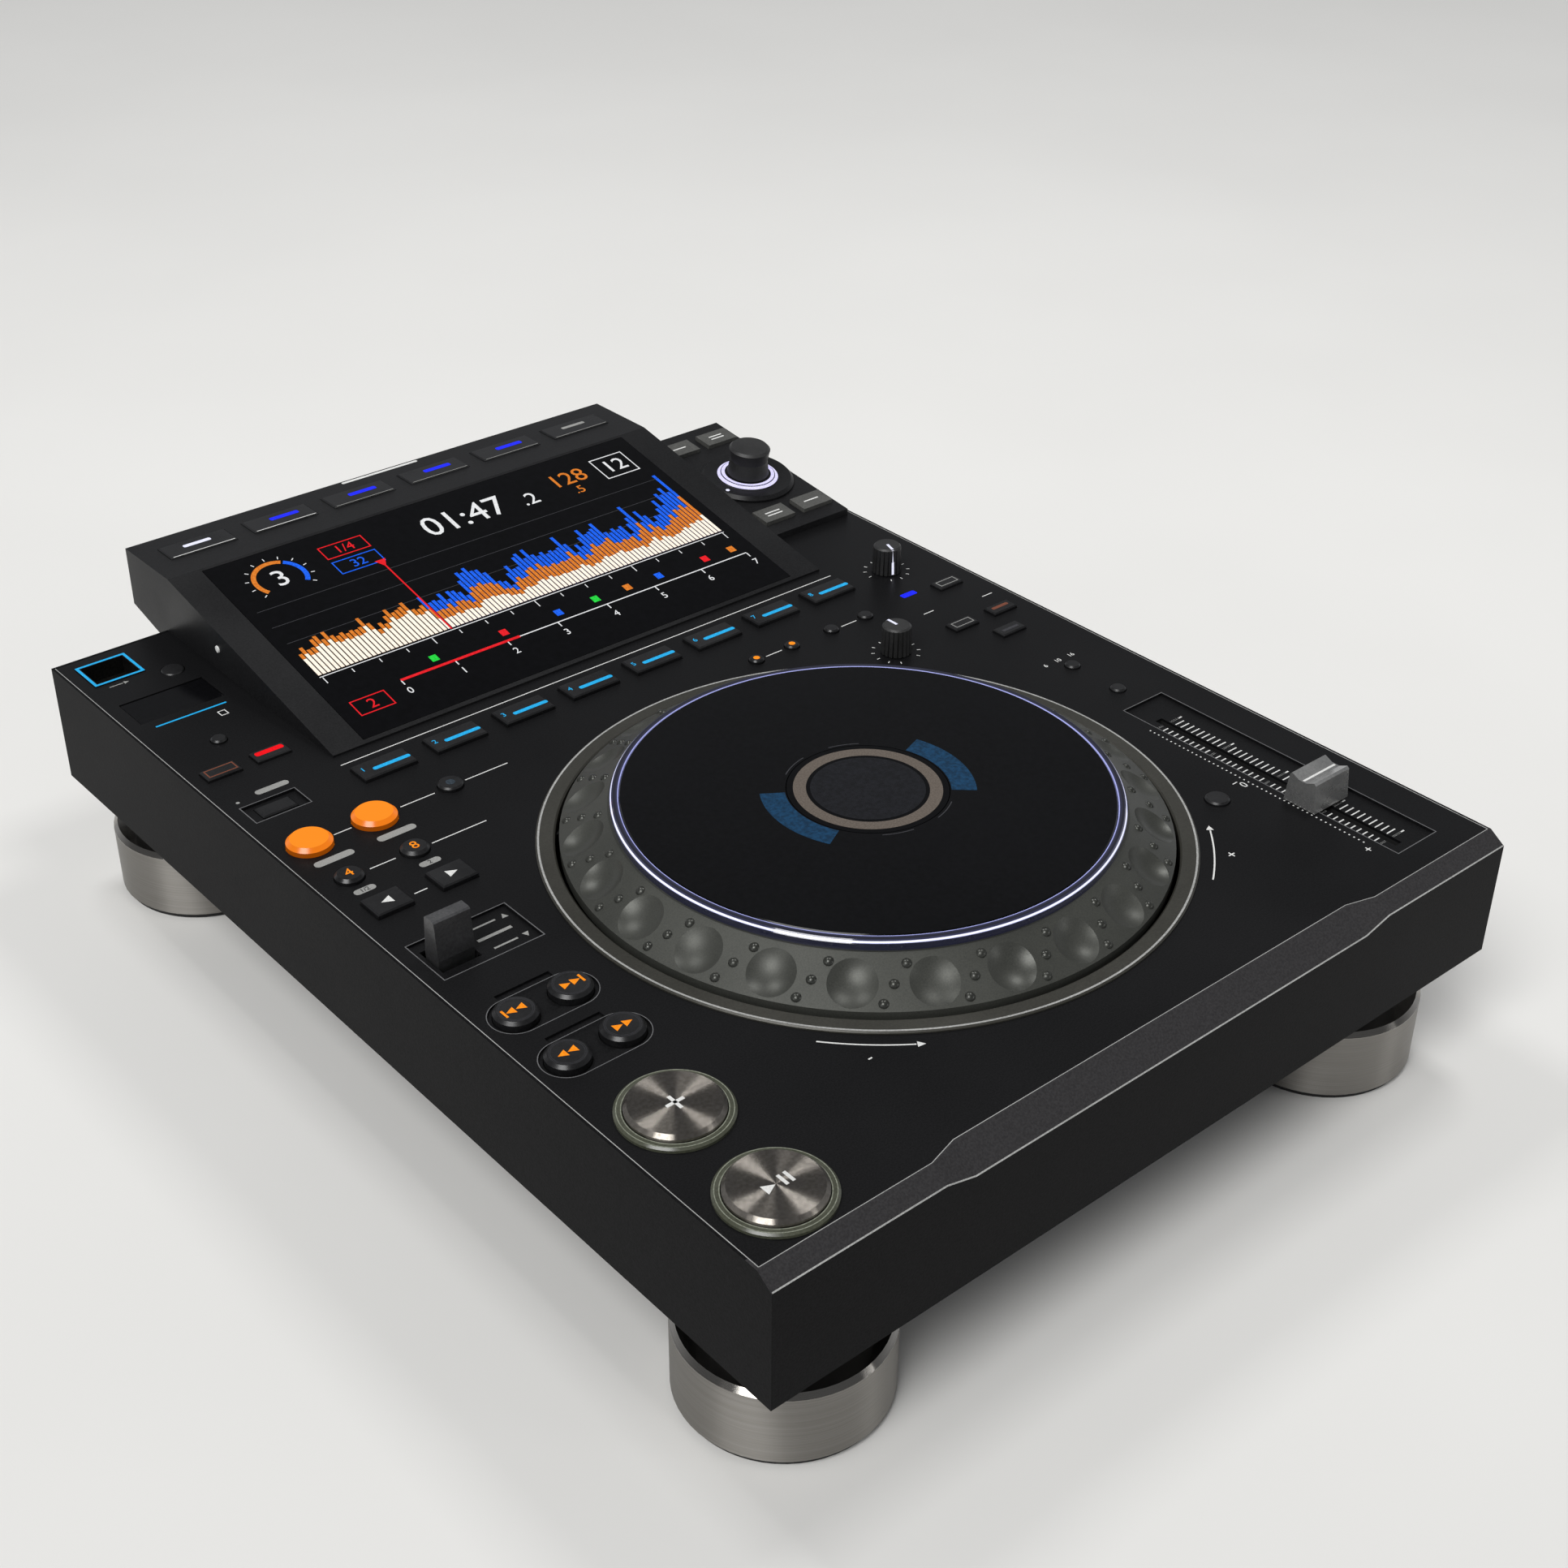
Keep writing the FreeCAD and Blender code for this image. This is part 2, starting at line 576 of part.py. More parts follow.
# Direction lever: a tapered paddle on an axle under the panel
lever = new_body("direction_lever")
lever_side = polygon(sketch_on(lever, "lever_side", "YZ_Plane", "-lever_width / 2"), [
    ("-2.6", "-2.4"), ("2.6", "-2.4"), ("3.8", "lever_pivot + 1"), ("2.7", "lever_pivot + lever_height - 0.6"),
    ("2.1", "lever_pivot + lever_height"), ("-2.1", "lever_pivot + lever_height"),
    ("-2.7", "lever_pivot + lever_height - 0.6"), ("-3.8", "lever_pivot + 1")])
pad(lever, lever_side, "lever_width")
axle_sketch = sketch_on(lever, "lever_axle", "YZ_Plane", "-lever_width / 2 - 2.4")
axle_sketch.addGeometry(Part.Circle(FreeCAD.Vector(0, 0, 0), FreeCAD.Vector(0, 0, 1), 1.5), False)
axle_sketch.addConstraint(Sketcher.Constraint("Coincident", 0, 3, -1, 1))
number = axle_sketch.addConstraint(Sketcher.Constraint("Radius", 0, 1.5))
bind(axle_sketch, "Constraints[%d]" % number, "lever_pin")
pad(lever, axle_sketch, "lever_width + 4.8")
seat(lever, "lever_x", "lever_y", up("-lever_pivot"))
node(lever, "direction_lever")
slot_depth = "8 + 2 * lever_pivot * tan(lever_throw * 1 deg) + 1"
holes.append(middle_box("lever_recess", "lever_x + 9.1", "lever_y", up("-1"), "37.2", "22", "3"))
holes.append(middle_box("lever_gap", "lever_x", "lever_y", up("-panel_thickness - 1"), "lever_width + 1",
                        slot_depth, "panel_thickness + 2"))

# Card door with its pins, and the two media sockets
door = new_body("sd_door")
door_side = polygon(sketch_on(door, "door_side", "YZ_Plane", "-sd_width / 2"), [
    ("-sd_depth + 0.8", "-0.8"), ("0.4", "-0.8"), ("0.8", "-0.4"), ("0.8", "0.4"), ("0.4", "sd_door - 0.8"),
    ("-sd_depth + 0.8", "sd_door - 0.8")])
pad(door, door_side, "sd_width")
pin_sketch = sketch_on(door, "door_pin", "YZ_Plane", "-sd_width / 2 - 1.0")
pin_sketch.addGeometry(Part.Circle(FreeCAD.Vector(0, 0, 0), FreeCAD.Vector(0, 0, 1), 0.6), False)
pin_sketch.addConstraint(Sketcher.Constraint("Coincident", 0, 3, -1, 1))
number = pin_sketch.addConstraint(Sketcher.Constraint("Radius", 0, 0.6))
bind(pin_sketch, "Constraints[%d]" % number, "sd_pin")
pad(door, pin_sketch, "sd_width + 2.0")
seat(door, "sd_x", "sd_y + sd_depth / 2 - 0.8", up("-1.0"))
node(door, "sd_door")
holes.append(middle_box("door_gap", "sd_x", "sd_y", up("-panel_thickness - 1"), "sd_width + 0.6",
                        "sd_depth + 0.6", "panel_thickness + 2"))
holes.append(lying_rod("door_bore", "sd_x - sd_width / 2 - 1.3", "sd_y + sd_depth / 2 - 0.8", up("-1.0"),
                       "sd_pin + running_fit", "sd_width + 2.6", "x"))
node(cut("sd_slot",
         join("sd_block", [
             middle_box("sd_body", "sd_x", "sd_y", up("-panel_thickness - 24"), "29", "8", "23"),
             middle_box("sd_shelf", "sd_x", "sd_y", up("-panel_thickness - 1"), "sd_width + 1", "sd_depth + 4",
                        "1")]),
         [middle_box("sd_mouth", "sd_x", "sd_y", up("-panel_thickness - 22"), "24.6", "2.7", "30"),
          middle_box("sd_thumb", "sd_x", "sd_y", up("-panel_thickness - 3"), "14", "6", "10")]), "sd_slot")

usb_top = "0.3"
node(join("usb_socket_body", [
    cut("usb_frame",
        middle_box("usb_block", "usb_x", "usb_y", up("-usb_well - 16"), "usb_width", "usb_depth",
                   "usb_well + 16 + %s" % usb_top),
        [middle_box("usb_hollow", "usb_x", "usb_y", up("-usb_well"), "usb_width - 3.2", "usb_depth - 3.2", "20"),
         middle_box("usb_mouth", "usb_x", "usb_y", up("-usb_well - 13"), "12.5", "5.1", "20")]),
    middle_box("usb_tongue", "usb_x", "usb_y + 1.2", up("-usb_well - 13.5"), "11.2", "1.9", "11")]), "usb_socket")
holes.append(middle_box("usb_gap", "usb_x", "usb_y", up("-panel_thickness - 1"), "usb_width + 2 * panel_gap",
                        "usb_depth + 2 * panel_gap", "panel_thickness + 2"))

# Browse pod: a sloping block with a raised disc, the selector and four keys
pod_rear = "case_rear - case_rim - 1"
pod = new_body("pod_block")
pod_rise = "tan(pod_slope * 1 deg)"
pod_side = polygon(sketch_on(pod, "pod_side", "YZ_Plane", "pod_x - pod_half_width"), [
    ("pod_front", "case_top"), (pod_rear, "case_top"),
    (pod_rear, "case_top + pod_lift + (%s - pod_y) * %s" % (pod_rear, pod_rise)),
    ("pod_front", "case_top + pod_lift + (pod_front - pod_y) * %s" % pod_rise)])
pad(pod, pod_side, "2 * pod_half_width")


def on_pod(body):
    seat(body, "pod_x", "pod_y", up("pod_lift"))
    return tilt(body, "pod_slope")


disc = on_pod(turned("pod_disc", [
    ("0", "-3"), ("disc_radius", "-3"), ("disc_radius", "1.0"), ("disc_radius - 1.4", "2.4"),
    ("light_collar", "2.0"), ("light_collar - 2", "3.4"), ("selector_radius + 0.5", "3.4"), ("0", "3.4")]))
bore_body = on_pod(turned("pod_shaft_hole", [
    ("0", "-9"), ("knob_shaft + running_fit", "-9"), ("knob_shaft + running_fit", "9"), ("0", "9")]))
browse = []
browse_holes = [bore_body]
for across, along in (("-10.6", "35"), ("10.6", "35"), ("-10.6", "-30.6"), ("10.6", "-30.6")):
    label = "browse_key"
    body = new_body(label)
    rows = (("key_flange_low", "17.6", "11.4", "-4.4", "1.0"), ("key_cap", "16.0", "9.8", "-3.5", "5.2"))
    for part, wide, deep, low, tall in rows:
        half = "(%s) / 2" % wide
        deep_half = "(%s) / 2" % deep
        sketch = polygon(sketch_on(body, "browse_" + part, "XY_Plane", low), [
            ("%s - %s" % (across, half), "%s - %s" % (along, deep_half)),
            ("%s + %s" % (across, half), "%s - %s" % (along, deep_half)),
            ("%s + %s" % (across, half), "%s + %s" % (along, deep_half)),
            ("%s - %s" % (across, half), "%s + %s" % (along, deep_half))])
        pad(body, sketch, tall)
    browse.append(on_pod(body))
    hole = new_body("browse_hole")
    for part, grow, low, tall in (("upper", "0.5", "-3.2", "9"), ("lower", "2.4", "-5.7", "2.6")):
        half = "(16.0 + %s) / 2" % grow
        deep_half = "(9.8 + %s) / 2" % grow
        sketch = polygon(sketch_on(hole, "hole_" + part, "XY_Plane", low), [
            ("%s - %s" % (across, half), "%s - %s" % (along, deep_half)),
            ("%s + %s" % (across, half), "%s - %s" % (along, deep_half)),
            ("%s + %s" % (across, half), "%s + %s" % (along, deep_half)),
            ("%s - %s" % (across, half), "%s + %s" % (along, deep_half))])
        pad(hole, sketch, tall)
    browse_holes.append(on_pod(hole))
node(group("browse_keys", browse), "browse_keys")
node(cut("browse_pod", join("pod_whole", [pod, disc]), browse_holes), "browse_pod")
selector = on_pod(turned("rotary_selector", [
    ("0", "-8.4"), ("knob_shaft", "-8.4"), ("knob_shaft", "3.7"), ("selector_radius", "3.7"),
    ("selector_radius - 1.0", "selector_height - 6"), ("selector_radius - 0.2", "selector_height - 1"),
    ("selector_radius - 1.2", "selector_height"), ("0", "selector_height")]))
node(selector, "rotary_selector")

# Screen housing, its glass and its module
screen_fall = "(housing_top - housing_lip) / (housing_crest - housing_front)"
screen_tilt = "atan(%s)" % screen_fall
screen_z = "case_top + housing_lip + (display_y - housing_front) * %s" % screen_fall
housing = new_body("housing_block")
outer = polygon(sketch_on(housing, "housing_side", "YZ_Plane", "-housing_half_width"), [
    ("housing_front", "case_top"), ("housing_front", "case_top + housing_lip"),
    ("housing_crest", up("housing_top")), ("housing_rear", up("housing_top")),
    ("housing_rear", up("housing_rear_low")), ("case_rear", up("-housing_heel")), ("case_rear", "case_top")])
pad(housing, outer, "2 * housing_half_width")
hollow = new_body("housing_hollow")
inside = polygon(sketch_on(hollow, "hollow_side", "YZ_Plane", "-housing_half_width + housing_wall"), [
    ("housing_front + 17", "case_top - 1"), ("housing_crest", up("housing_top - 5")),
    ("housing_rear - housing_wall", up("housing_top - housing_wall")),
    ("housing_rear - housing_wall", up("housing_rear_low + housing_wall")), ("case_rear - 3", "case_top + 2"),
    ("case_rear - 3", "case_top - 1")])
pad(hollow, inside, "2 * (housing_half_width - housing_wall)")


def slab(label, width, depth, low, tall):
    """A plate parallel to the screen, centred on it."""
    body = new_body(label)
    pad(body, rectangle(sketch_on(body, label + "_outline", "XY_Plane", low), width, depth), tall)
    seat(body, "0", "display_y", screen_z)
    return tilt(body, screen_tilt)


glass_wide = "display_width + 2 * glass_margin"
glass_deep = "display_depth + 2 * glass_margin"
node(slab("display_glass", glass_wide, glass_deep, "-glass_thickness", "glass_thickness"), "display_glass")
node(slab("lcd_module", "display_width + 3", "display_depth + 3",
          "-glass_thickness - glass_seat - lcd_thickness", "lcd_thickness"), "lcd_module")
housing_tools = [
    hollow,
    slab("glass_recess", glass_wide + " + 2 * glass_gap", glass_deep + " + 2 * glass_gap",
         "-glass_thickness - glass_seat", "8"),
    slab("lcd_bay", "display_width + 3.4", "display_depth + 3.4",
         "-glass_thickness - lcd_thickness - 14", "lcd_thickness + 14"),
]
menu_keys = []
for number in range(6):
    across = "menu_pitch * (%d - 2.5)" % number
    menu_keys.append(key("menu_key", across, "menu_y", "menu_width", "menu_depth", "0.6", up("housing_top")))
    housing_tools.append(middle_box("menu_hole", across, "menu_y", up("housing_top - housing_wall - 2"),
                                    "menu_width + 2 * key_gap", "menu_depth + 2 * key_gap", "housing_wall + 4"))
    housing_tools.append(middle_box("menu_bay", across, "menu_y", up("housing_top - housing_wall - 6"),
                                    "menu_width + 2 * key_flange + 0.8", "menu_depth + 2 * key_flange + 0.8",
                                    "housing_wall + 6 - panel_thickness"))
node(group("menu_keys", menu_keys), "menu_keys")
node(cut("display_housing", housing, housing_tools), "display_housing")

# Case, control panel and tray
front_edge = "case_front + bevel_setback + panel_land"
mid_edge = "case_front + mid_setback + panel_land"


def panel_outline(body, label, grow, offset):
    side = "case_half_width - case_rim - (%s)" % grow
    front = "%s + (%s)" % (front_edge, grow)
    middle = "%s + (%s)" % (mid_edge, grow)
    back = "case_rear - case_rim - (%s)" % grow
    return polygon(sketch_on(body, label, "XY_Plane", offset), [
        ("-(%s)" % side, front), ("-mid_outer", front), ("-mid_inner", middle), ("mid_inner", middle),
        ("mid_outer", front), (side, front), (side, back), ("-(%s)" % side, back)])


blank = new_body("panel_blank")
pad(blank, panel_outline(blank, "panel_outline", "panel_gap", up("-panel_thickness")), "panel_thickness")
seat_tool = new_body("panel_seat")
pad(seat_tool, panel_outline(seat_tool, "seat_outline", "0", up("-panel_thickness")), "panel_thickness + 5")

for along in ("track_y", "search_y"):
    reach = "search_radius + pill_margin"
    holes.append(rod("pill_end", "search_left", along, up("-0.9"), reach, "3"))
    holes.append(rod("pill_end", right_search, along, up("-0.9"), reach, "3"))
    holes.append(box("pill_middle", "search_left", "%s - %s" % (along, reach), up("-0.9"), "search_pitch",
                     "2 * (%s)" % reach, "3"))
holes.append(middle_box("delete_recess", "-147.4", "59", up("-1.1"), "21", "11.4", "3"))
holes.append(rod("jog_opening", "jog_x", "jog_y", up("-panel_thickness - 1"), "surround_inner + 1.0",
                 "panel_thickness + 2"))
holes.append(middle_box("screen_opening", "0", "display_y", up("-panel_thickness - 1"), "display_width + 8",
                        "display_depth + 1", "panel_thickness + 2"))
holes.append(middle_box("pod_opening", "pod_x", "pod_y", up("-panel_thickness - 1"), "39.6", "82",
                        "panel_thickness + 2"))
plate = cut("panel_plate", blank, holes)
posts = [plate]
for across, along in (("-122", "-180"), ("-112", "-205"), ("112", "-205"), ("154", "-60"), ("154", "60"),
                      ("-112", "-100"), ("-154", "75"), ("-110", "38"), ("0", "45")):
    posts.append(rod("post", across, along, up("-board_depth"), "2.4", "board_depth - panel_thickness + 0.5"))
cheek_reach = "lever_pivot + 3 - panel_thickness"
for side in ("-", "+"):
    near = "lever_x %s (lever_width / 2 + 1.6)" % side
    cheek = middle_box("cheek", near, "lever_y", up("-lever_pivot - 3"), "2.4", "9", cheek_reach)
    bearing = lying_rod("cheek_bore", near + " - 2", "lever_y", up("-lever_pivot"), "lever_pin + running_fit",
                        "4", "x")
    posts.append(cut("lever_cheek", cheek, [bearing]))
node(join("control_panel", posts), "control_panel")

bevel = new_body("bevel_tool")
sections = []
for number, (place, setback, drop) in enumerate((
        ("-case_half_width - 1", "bevel_setback", "bevel_drop"), ("-mid_outer", "bevel_setback", "bevel_drop"),
        ("-mid_inner", "mid_setback", "mid_drop"), ("mid_inner", "mid_setback", "mid_drop"),
        ("mid_outer", "bevel_setback", "bevel_drop"), ("case_half_width + 1", "bevel_setback", "bevel_drop"))):
    sections.append(polygon(sketch_on(bevel, "bevel_section_%d" % number, "YZ_Plane", place), [
        ("case_front - 0.5 * %s" % setback, "case_top - 1.5 * %s" % drop),
        ("case_front + 1.5 * %s" % setback, "case_top + 0.5 * %s" % drop),
        ("case_front - 0.5 * %s" % setback, "case_top + 0.5 * %s" % drop)]))
doc.recompute()
loft = bevel.newObject("PartDesign::AdditiveLoft", "bevel_loft")
loft.Profile = sections[0]
loft.Sections = sections[1:]
loft.Ruled = True

case_tall = "case_top - case_bottom"
ledge_top = "case_top - panel_thickness - ledge"
inner_wide = "2 * (case_half_width - case_wall)"
case_tools = [
    bevel, seat_tool,
    box("cavity", "-case_half_width + case_wall", "case_front + 14", "case_bottom - 1",
        inner_wide, "case_rear - case_wall - case_front - 14", "%s - case_bottom + 1" % ledge_top),
    box("front_cavity", "-case_half_width + case_wall", "case_front + case_wall", "case_bottom - 1",
        inner_wide, "14", "case_top - mid_drop - 3 - case_bottom + 1"),
    box("ledge_opening", "-case_half_width + case_wall + ledge_width", "case_front + 16", "case_bottom",
        inner_wide + " - 2 * ledge_width", "case_rear - case_wall - ledge_width - case_front - 16", case_tall),
    rod("play_well", "play_x", "play_y", up("-key_foot - 1.6"), "play_radius + key_flange + 0.5", "key_foot"),
    rod("cue_well", "play_x", "cue_y", up("-key_foot - 1.6"), "play_radius + key_flange + 0.5", "key_foot"),
]

# Sockets in the rear face: (x, z, width, height) of each opening
rear_mid = "case_rear - case_wall"
rear_openings = {
    "mains": ("118", "66", "27.4", "19.8"),
    "lan": ("-14", "64", "16.4", "14.0"),
    "usb_b": ("12", "64", "12.4", "11.2"),
    "power": ("84", "66", "12", "16"),
}


def rear_box(label, x, z, width, height, inward, outward):
    """A block through the rear face, from inside it to outside it."""
    return box(label, "(%s) - (%s) / 2" % (x, width), "case_rear - (%s)" % inward,
               "(%s) - (%s) / 2" % (z, height), width, "(%s) + (%s)" % (inward, outward), height)


for label, (across, height, wide, tall) in rear_openings.items():
    case_tools.append(rear_box(label + "_opening", across, height, "%s + 0.3" % wide, "%s + 0.3" % tall,
                               "case_wall + 1", "1"))
audio_x = ("-66", "-86", "-112")
for across in audio_x:
    case_tools.append(lying_rod("audio_opening", across, "case_rear - case_wall - 1", "66", "6.2",
                                "case_wall + 2", "y"))
node(cut("upper_case", box("case_block", "-case_half_width", "case_front", "case_bottom",
                           "2 * case_half_width", "case_rear - case_front", case_tall), case_tools),
     "upper_case")

audio = []
for across in audio_x:
    barrel = join("audio_barrel", [
        lying_rod("audio_body", across, "case_rear - case_wall - 9", "66", "6.0", "9 + case_wall + 1.2", "y"),
        lying_rod("audio_shell", across, "case_rear", "66", "4.1", "9.6", "y")])
    audio.append(cut("audio_socket", barrel, [
        lying_rod("audio_core", across, "case_rear - 6", "66", "1.7", "20", "y")]))
lan = cut("lan_socket", rear_box("lan_body", "-14", "64", "16.4", "14.0", "16", "0.6"),
          [rear_box("lan_hollow", "-14", "64", "11.9", "8.6", "12", "3")])
usb_b = join("usb_b_socket", [
    cut("usb_b_shell", rear_box("usb_b_body", "12", "64", "12.4", "11.2", "14", "0.6"),
        [rear_box("usb_b_hollow", "12", "64", "8.6", "7.9", "11", "3")]),
    rear_box("usb_b_tongue", "12", "64", "5.6", "3.1", "11.5", "-1.5")])
node(group("signal_sockets", audio + [lan, usb_b]), "signal_sockets")

pins = [cut("inlet_shell", rear_box("inlet_body", "118", "66", "27.4", "19.8", "20", "1.6"),
            [rear_box("inlet_hollow", "118", "66", "24.4", "16.4", "16", "3")])]
for across, height in (("111", "64"), ("125", "64"), ("118", "68")):
    pins.append(rear_box("inlet_pin", across, height, "2", "4", "16.5", "-5"))
node(join("mains_inlet", pins), "mains_inlet")

switch = new_body("power_button")
for part, wide, tall, low, length in (("flange", "13.6", "17.6", "-case_wall - 1.6", "1.3"),
                                      ("stem", "8", "12", "-10", "8"), ("cap", "11.5", "15.5", "-case_wall - 1", "4.4")):
    face = rectangle(sketch_on(switch, "power_" + part, "XY_Plane", low), wide, tall)
    pad(switch, face, length)
seat(switch, "84", "case_rear", "66")
switch.Placement = FreeCAD.Placement(switch.Placement.Base, FreeCAD.Rotation(FreeCAD.Vector(1, 0, 0), -90))
node(switch, "power_button")

# Steel tray with its necks, metal feet and rubber pads
corners = []
for across in ("-foot_x", "foot_x"):
    for along in ("foot_front", "foot_rear"):
        corners.append((across, along))
tray_parts = [box("tray_plate", "-case_half_width + case_wall + panel_gap", "case_front + case_wall + panel_gap",
                  "case_bottom", inner_wide + " - 2 * panel_gap",
                  "case_rear - case_front - 2 * (case_wall + panel_gap)", "tray_thickness")]
feet = []
pads = []
for across, along in corners:
    tray_parts.append(rod("neck", across, along, "foot_rim", "neck_radius", "case_bottom + 0.5 - foot_rim"))
    feet.append(turned("foot", [("0", "foot_pad"), ("foot_radius - 0.6", "foot_pad"),
                                ("foot_radius", "foot_pad + 0.6"), ("foot_radius", "foot_rim - foot_chamfer"),
                                ("foot_radius - foot_chamfer", "foot_rim"), ("0", "foot_rim")], across, along))
    pads.append(rod("pad", across, along, "0", "foot_radius - 1.6", "foot_pad"))
vents = []
for number in range(12):
    vents.append(middle_box("vent", "-44 + %d * 8" % number, "60", "case_bottom - 1", "3", "40",
                            "tray_thickness + 2"))
node(cut("bottom_tray", join("tray_whole", tray_parts), vents), "bottom_tray")
node(group("foot_shells", feet), "foot_shells")
node(group("foot_pads", pads), "foot_pads")

# Circuit boards on stand-offs, and the mains supply
board_z = up("-board_depth - board_thickness")
front_board = cut("front_board", join("board_sheet", [
    box("board_low", "-159", "-212", board_z, "317", "286", "board_thickness"),
    middle_box("board_mode", "-141", "104", board_z, "26", "66", "board_thickness")]), [
    rod("board_round", "jog_x", "jog_y", up("-20"), "surround_inner + 2.6", "30"),
    middle_box("board_fader", "fader_x", "fader_mid", up("-20"), "14", "fader_travel + 20", "30"),
    middle_box("board_lever", "lever_x", "lever_y", up("-20"), "lever_width + 9", "15", "30")])
main_board = join("main_board", [
    box("main_sheet", "-150", "92", "case_bottom + 8", "190", "86", "board_thickness"),
    middle_box("chip", "-60", "130", "case_bottom + 9", "32", "32", "4"),
    middle_box("chip", "-10", "130", "case_bottom + 9", "20", "14", "3")])
stands = [main_board]
for across, along in (("-144", "98"), ("34", "98"), ("-80", "172"), ("34", "172")):
    stands.append(rod("stand", across, along, "case_bottom + tray_thickness", "3",
                      "8.5 - tray_thickness"))
node(group("circuit_boards", [front_board, join("main_boards", stands)]), "circuit_boards")
supply = [box("supply_case", "66", "96", "case_bottom + tray_thickness", "86", "74", "34")]
node(supply[0], "power_supply")

doc.recompute()
failed = []
for made in doc.Objects:
    if "Invalid" in made.State or "Error" in made.State:
        failed.append("%s (%s) %s" % (made.Name, made.Label, made.State))
for made in nodes:
    if made.Shape.isNull() or not made.Shape.isValid():
        failed.append("%s has no valid shape" % made.Label)
if failed:
    raise RuntimeError("; ".join(failed))
labels = [made.Label for made in nodes]
if len(set(labels)) != len(labels):
    raise RuntimeError("two nodes share a label")
os.makedirs("parts", exist_ok=True)
for made in nodes:
    made.Shape.exportStep("parts/%s.step" % made.Label)
print(len(nodes), "nodes written")
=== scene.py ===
import math

import bmesh
import bpy
from mathutils import Matrix, Vector


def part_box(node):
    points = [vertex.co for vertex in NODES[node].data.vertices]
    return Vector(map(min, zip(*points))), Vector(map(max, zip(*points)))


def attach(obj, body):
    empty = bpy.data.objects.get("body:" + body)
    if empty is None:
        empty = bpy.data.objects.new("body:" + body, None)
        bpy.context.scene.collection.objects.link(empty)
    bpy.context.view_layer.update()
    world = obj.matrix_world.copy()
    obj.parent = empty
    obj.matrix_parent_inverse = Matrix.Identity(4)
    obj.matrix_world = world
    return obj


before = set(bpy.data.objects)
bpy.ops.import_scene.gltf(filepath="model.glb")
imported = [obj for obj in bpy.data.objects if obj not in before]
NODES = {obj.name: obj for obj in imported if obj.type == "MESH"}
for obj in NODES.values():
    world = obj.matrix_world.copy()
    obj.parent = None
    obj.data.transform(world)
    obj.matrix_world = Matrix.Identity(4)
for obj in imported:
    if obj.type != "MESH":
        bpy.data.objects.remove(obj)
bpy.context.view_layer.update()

bl_info = {
    "name": "Table-top media player",
    "version": (1, 0, 0),
    "blender": (4, 5, 0),
    "location": "View3D > Sidebar > Player",
    "description": "Finishes, lit marks and studio for a table-top media player",
    "category": "Object",
}

MM = 0.001
PLAIN = Matrix()
FINISH = {}
UNLIT = 0.12             # share of a lit window's colour that its body shows without the lamp
FONT_SIZE = 1.38         # size of the font over the height of its figures


def linear(code):
    """An sRGB hex colour as linear RGBA."""
    channels = []
    for start in (1, 3, 5):
        value = int(code[start:start + 2], 16) / 255
        channels.append(value / 12.92 if value <= 0.04045 else ((value + 0.055) / 1.055) ** 2.4)
    return (*channels, 1.0)


def join(tree, node, links):
    """Link a node's inputs, each from a socket or from another node's first output."""
    for key, source in links.items():
        socket = source.outputs[0] if isinstance(source, bpy.types.Node) else source
        tree.links.new(socket, node.inputs[key])


def add(tree, kind, settings=None, links=None, stops=()):
    """Add one node, set its properties or inputs by name, link its inputs and fill its colour ramp."""
    node = tree.nodes.new(kind)
    for key, value in (settings or {}).items():
        if isinstance(key, str) and hasattr(node, key):
            setattr(node, key, value)
        else:
            node.inputs[key].default_value = value
    join(tree, node, links or {})
    for position, _ in stops[1:-1]:
        node.color_ramp.elements.new(position)
    for index, (position, colour) in enumerate(stops):
        node.color_ramp.elements[index].position = position
        node.color_ramp.elements[index].color = colour
    return node


def new_material(name, **values):
    """A finish with one shader whose own sockets hold the constant values."""
    made = bpy.data.materials.new(name)
    made.use_nodes = True
    FINISH[name] = made
    tree = made.node_tree
    shader = tree.nodes["Principled BSDF"]
    for key, value in values.items():
        shader.inputs[key.replace("_", " ")].default_value = value
    return tree, shader, add(tree, "ShaderNodeTexCoord").outputs["Object"]


def tone(tree, factor, low, high):
    """Map a pattern to a run between two colours."""
    return add(tree, "ShaderNodeValToRGB", links={"Fac": factor}, stops=((0.35, low), (0.65, high)))


def moulded(name, dark, light, roughness, grain, depth, cloud=60.0, sheen_spread=0.08, **values):
    """Moulded or coated surface: fine grain in the bump, slow clouds in colour and gloss.

    grain is the size of one grain and cloud the size of one patch, in millimetres."""
    tree, shader, place = new_material(name, **values)
    fine = add(tree, "ShaderNodeTexNoise", {"Scale": 1 / (grain * MM), "Detail": 3.0, "Roughness": 0.6},
               {"Vector": place})
    slow = add(tree, "ShaderNodeTexNoise", {"Scale": 1 / (cloud * MM), "Detail": 4.0}, {"Vector": place})
    part = add(tree, "ShaderNodeMath", {"operation": "MULTIPLY", 1: 0.25}, {0: slow})
    both = add(tree, "ShaderNodeMath", {"operation": "MULTIPLY_ADD", 1: 0.75}, {0: fine, 2: part})
    gloss = add(tree, "ShaderNodeMapRange", {"From Min": 0.3, "From Max": 0.7,
                                             "To Min": roughness - sheen_spread,
                                             "To Max": roughness + sheen_spread}, {"Value": slow})
    bump = add(tree, "ShaderNodeBump", {"Strength": 0.6, "Distance": depth * MM}, {"Height": fine})
    join(tree, shader, {"Base Color": tone(tree, both, linear(dark), linear(light)), "Roughness": gloss,
                        "Normal": bump})


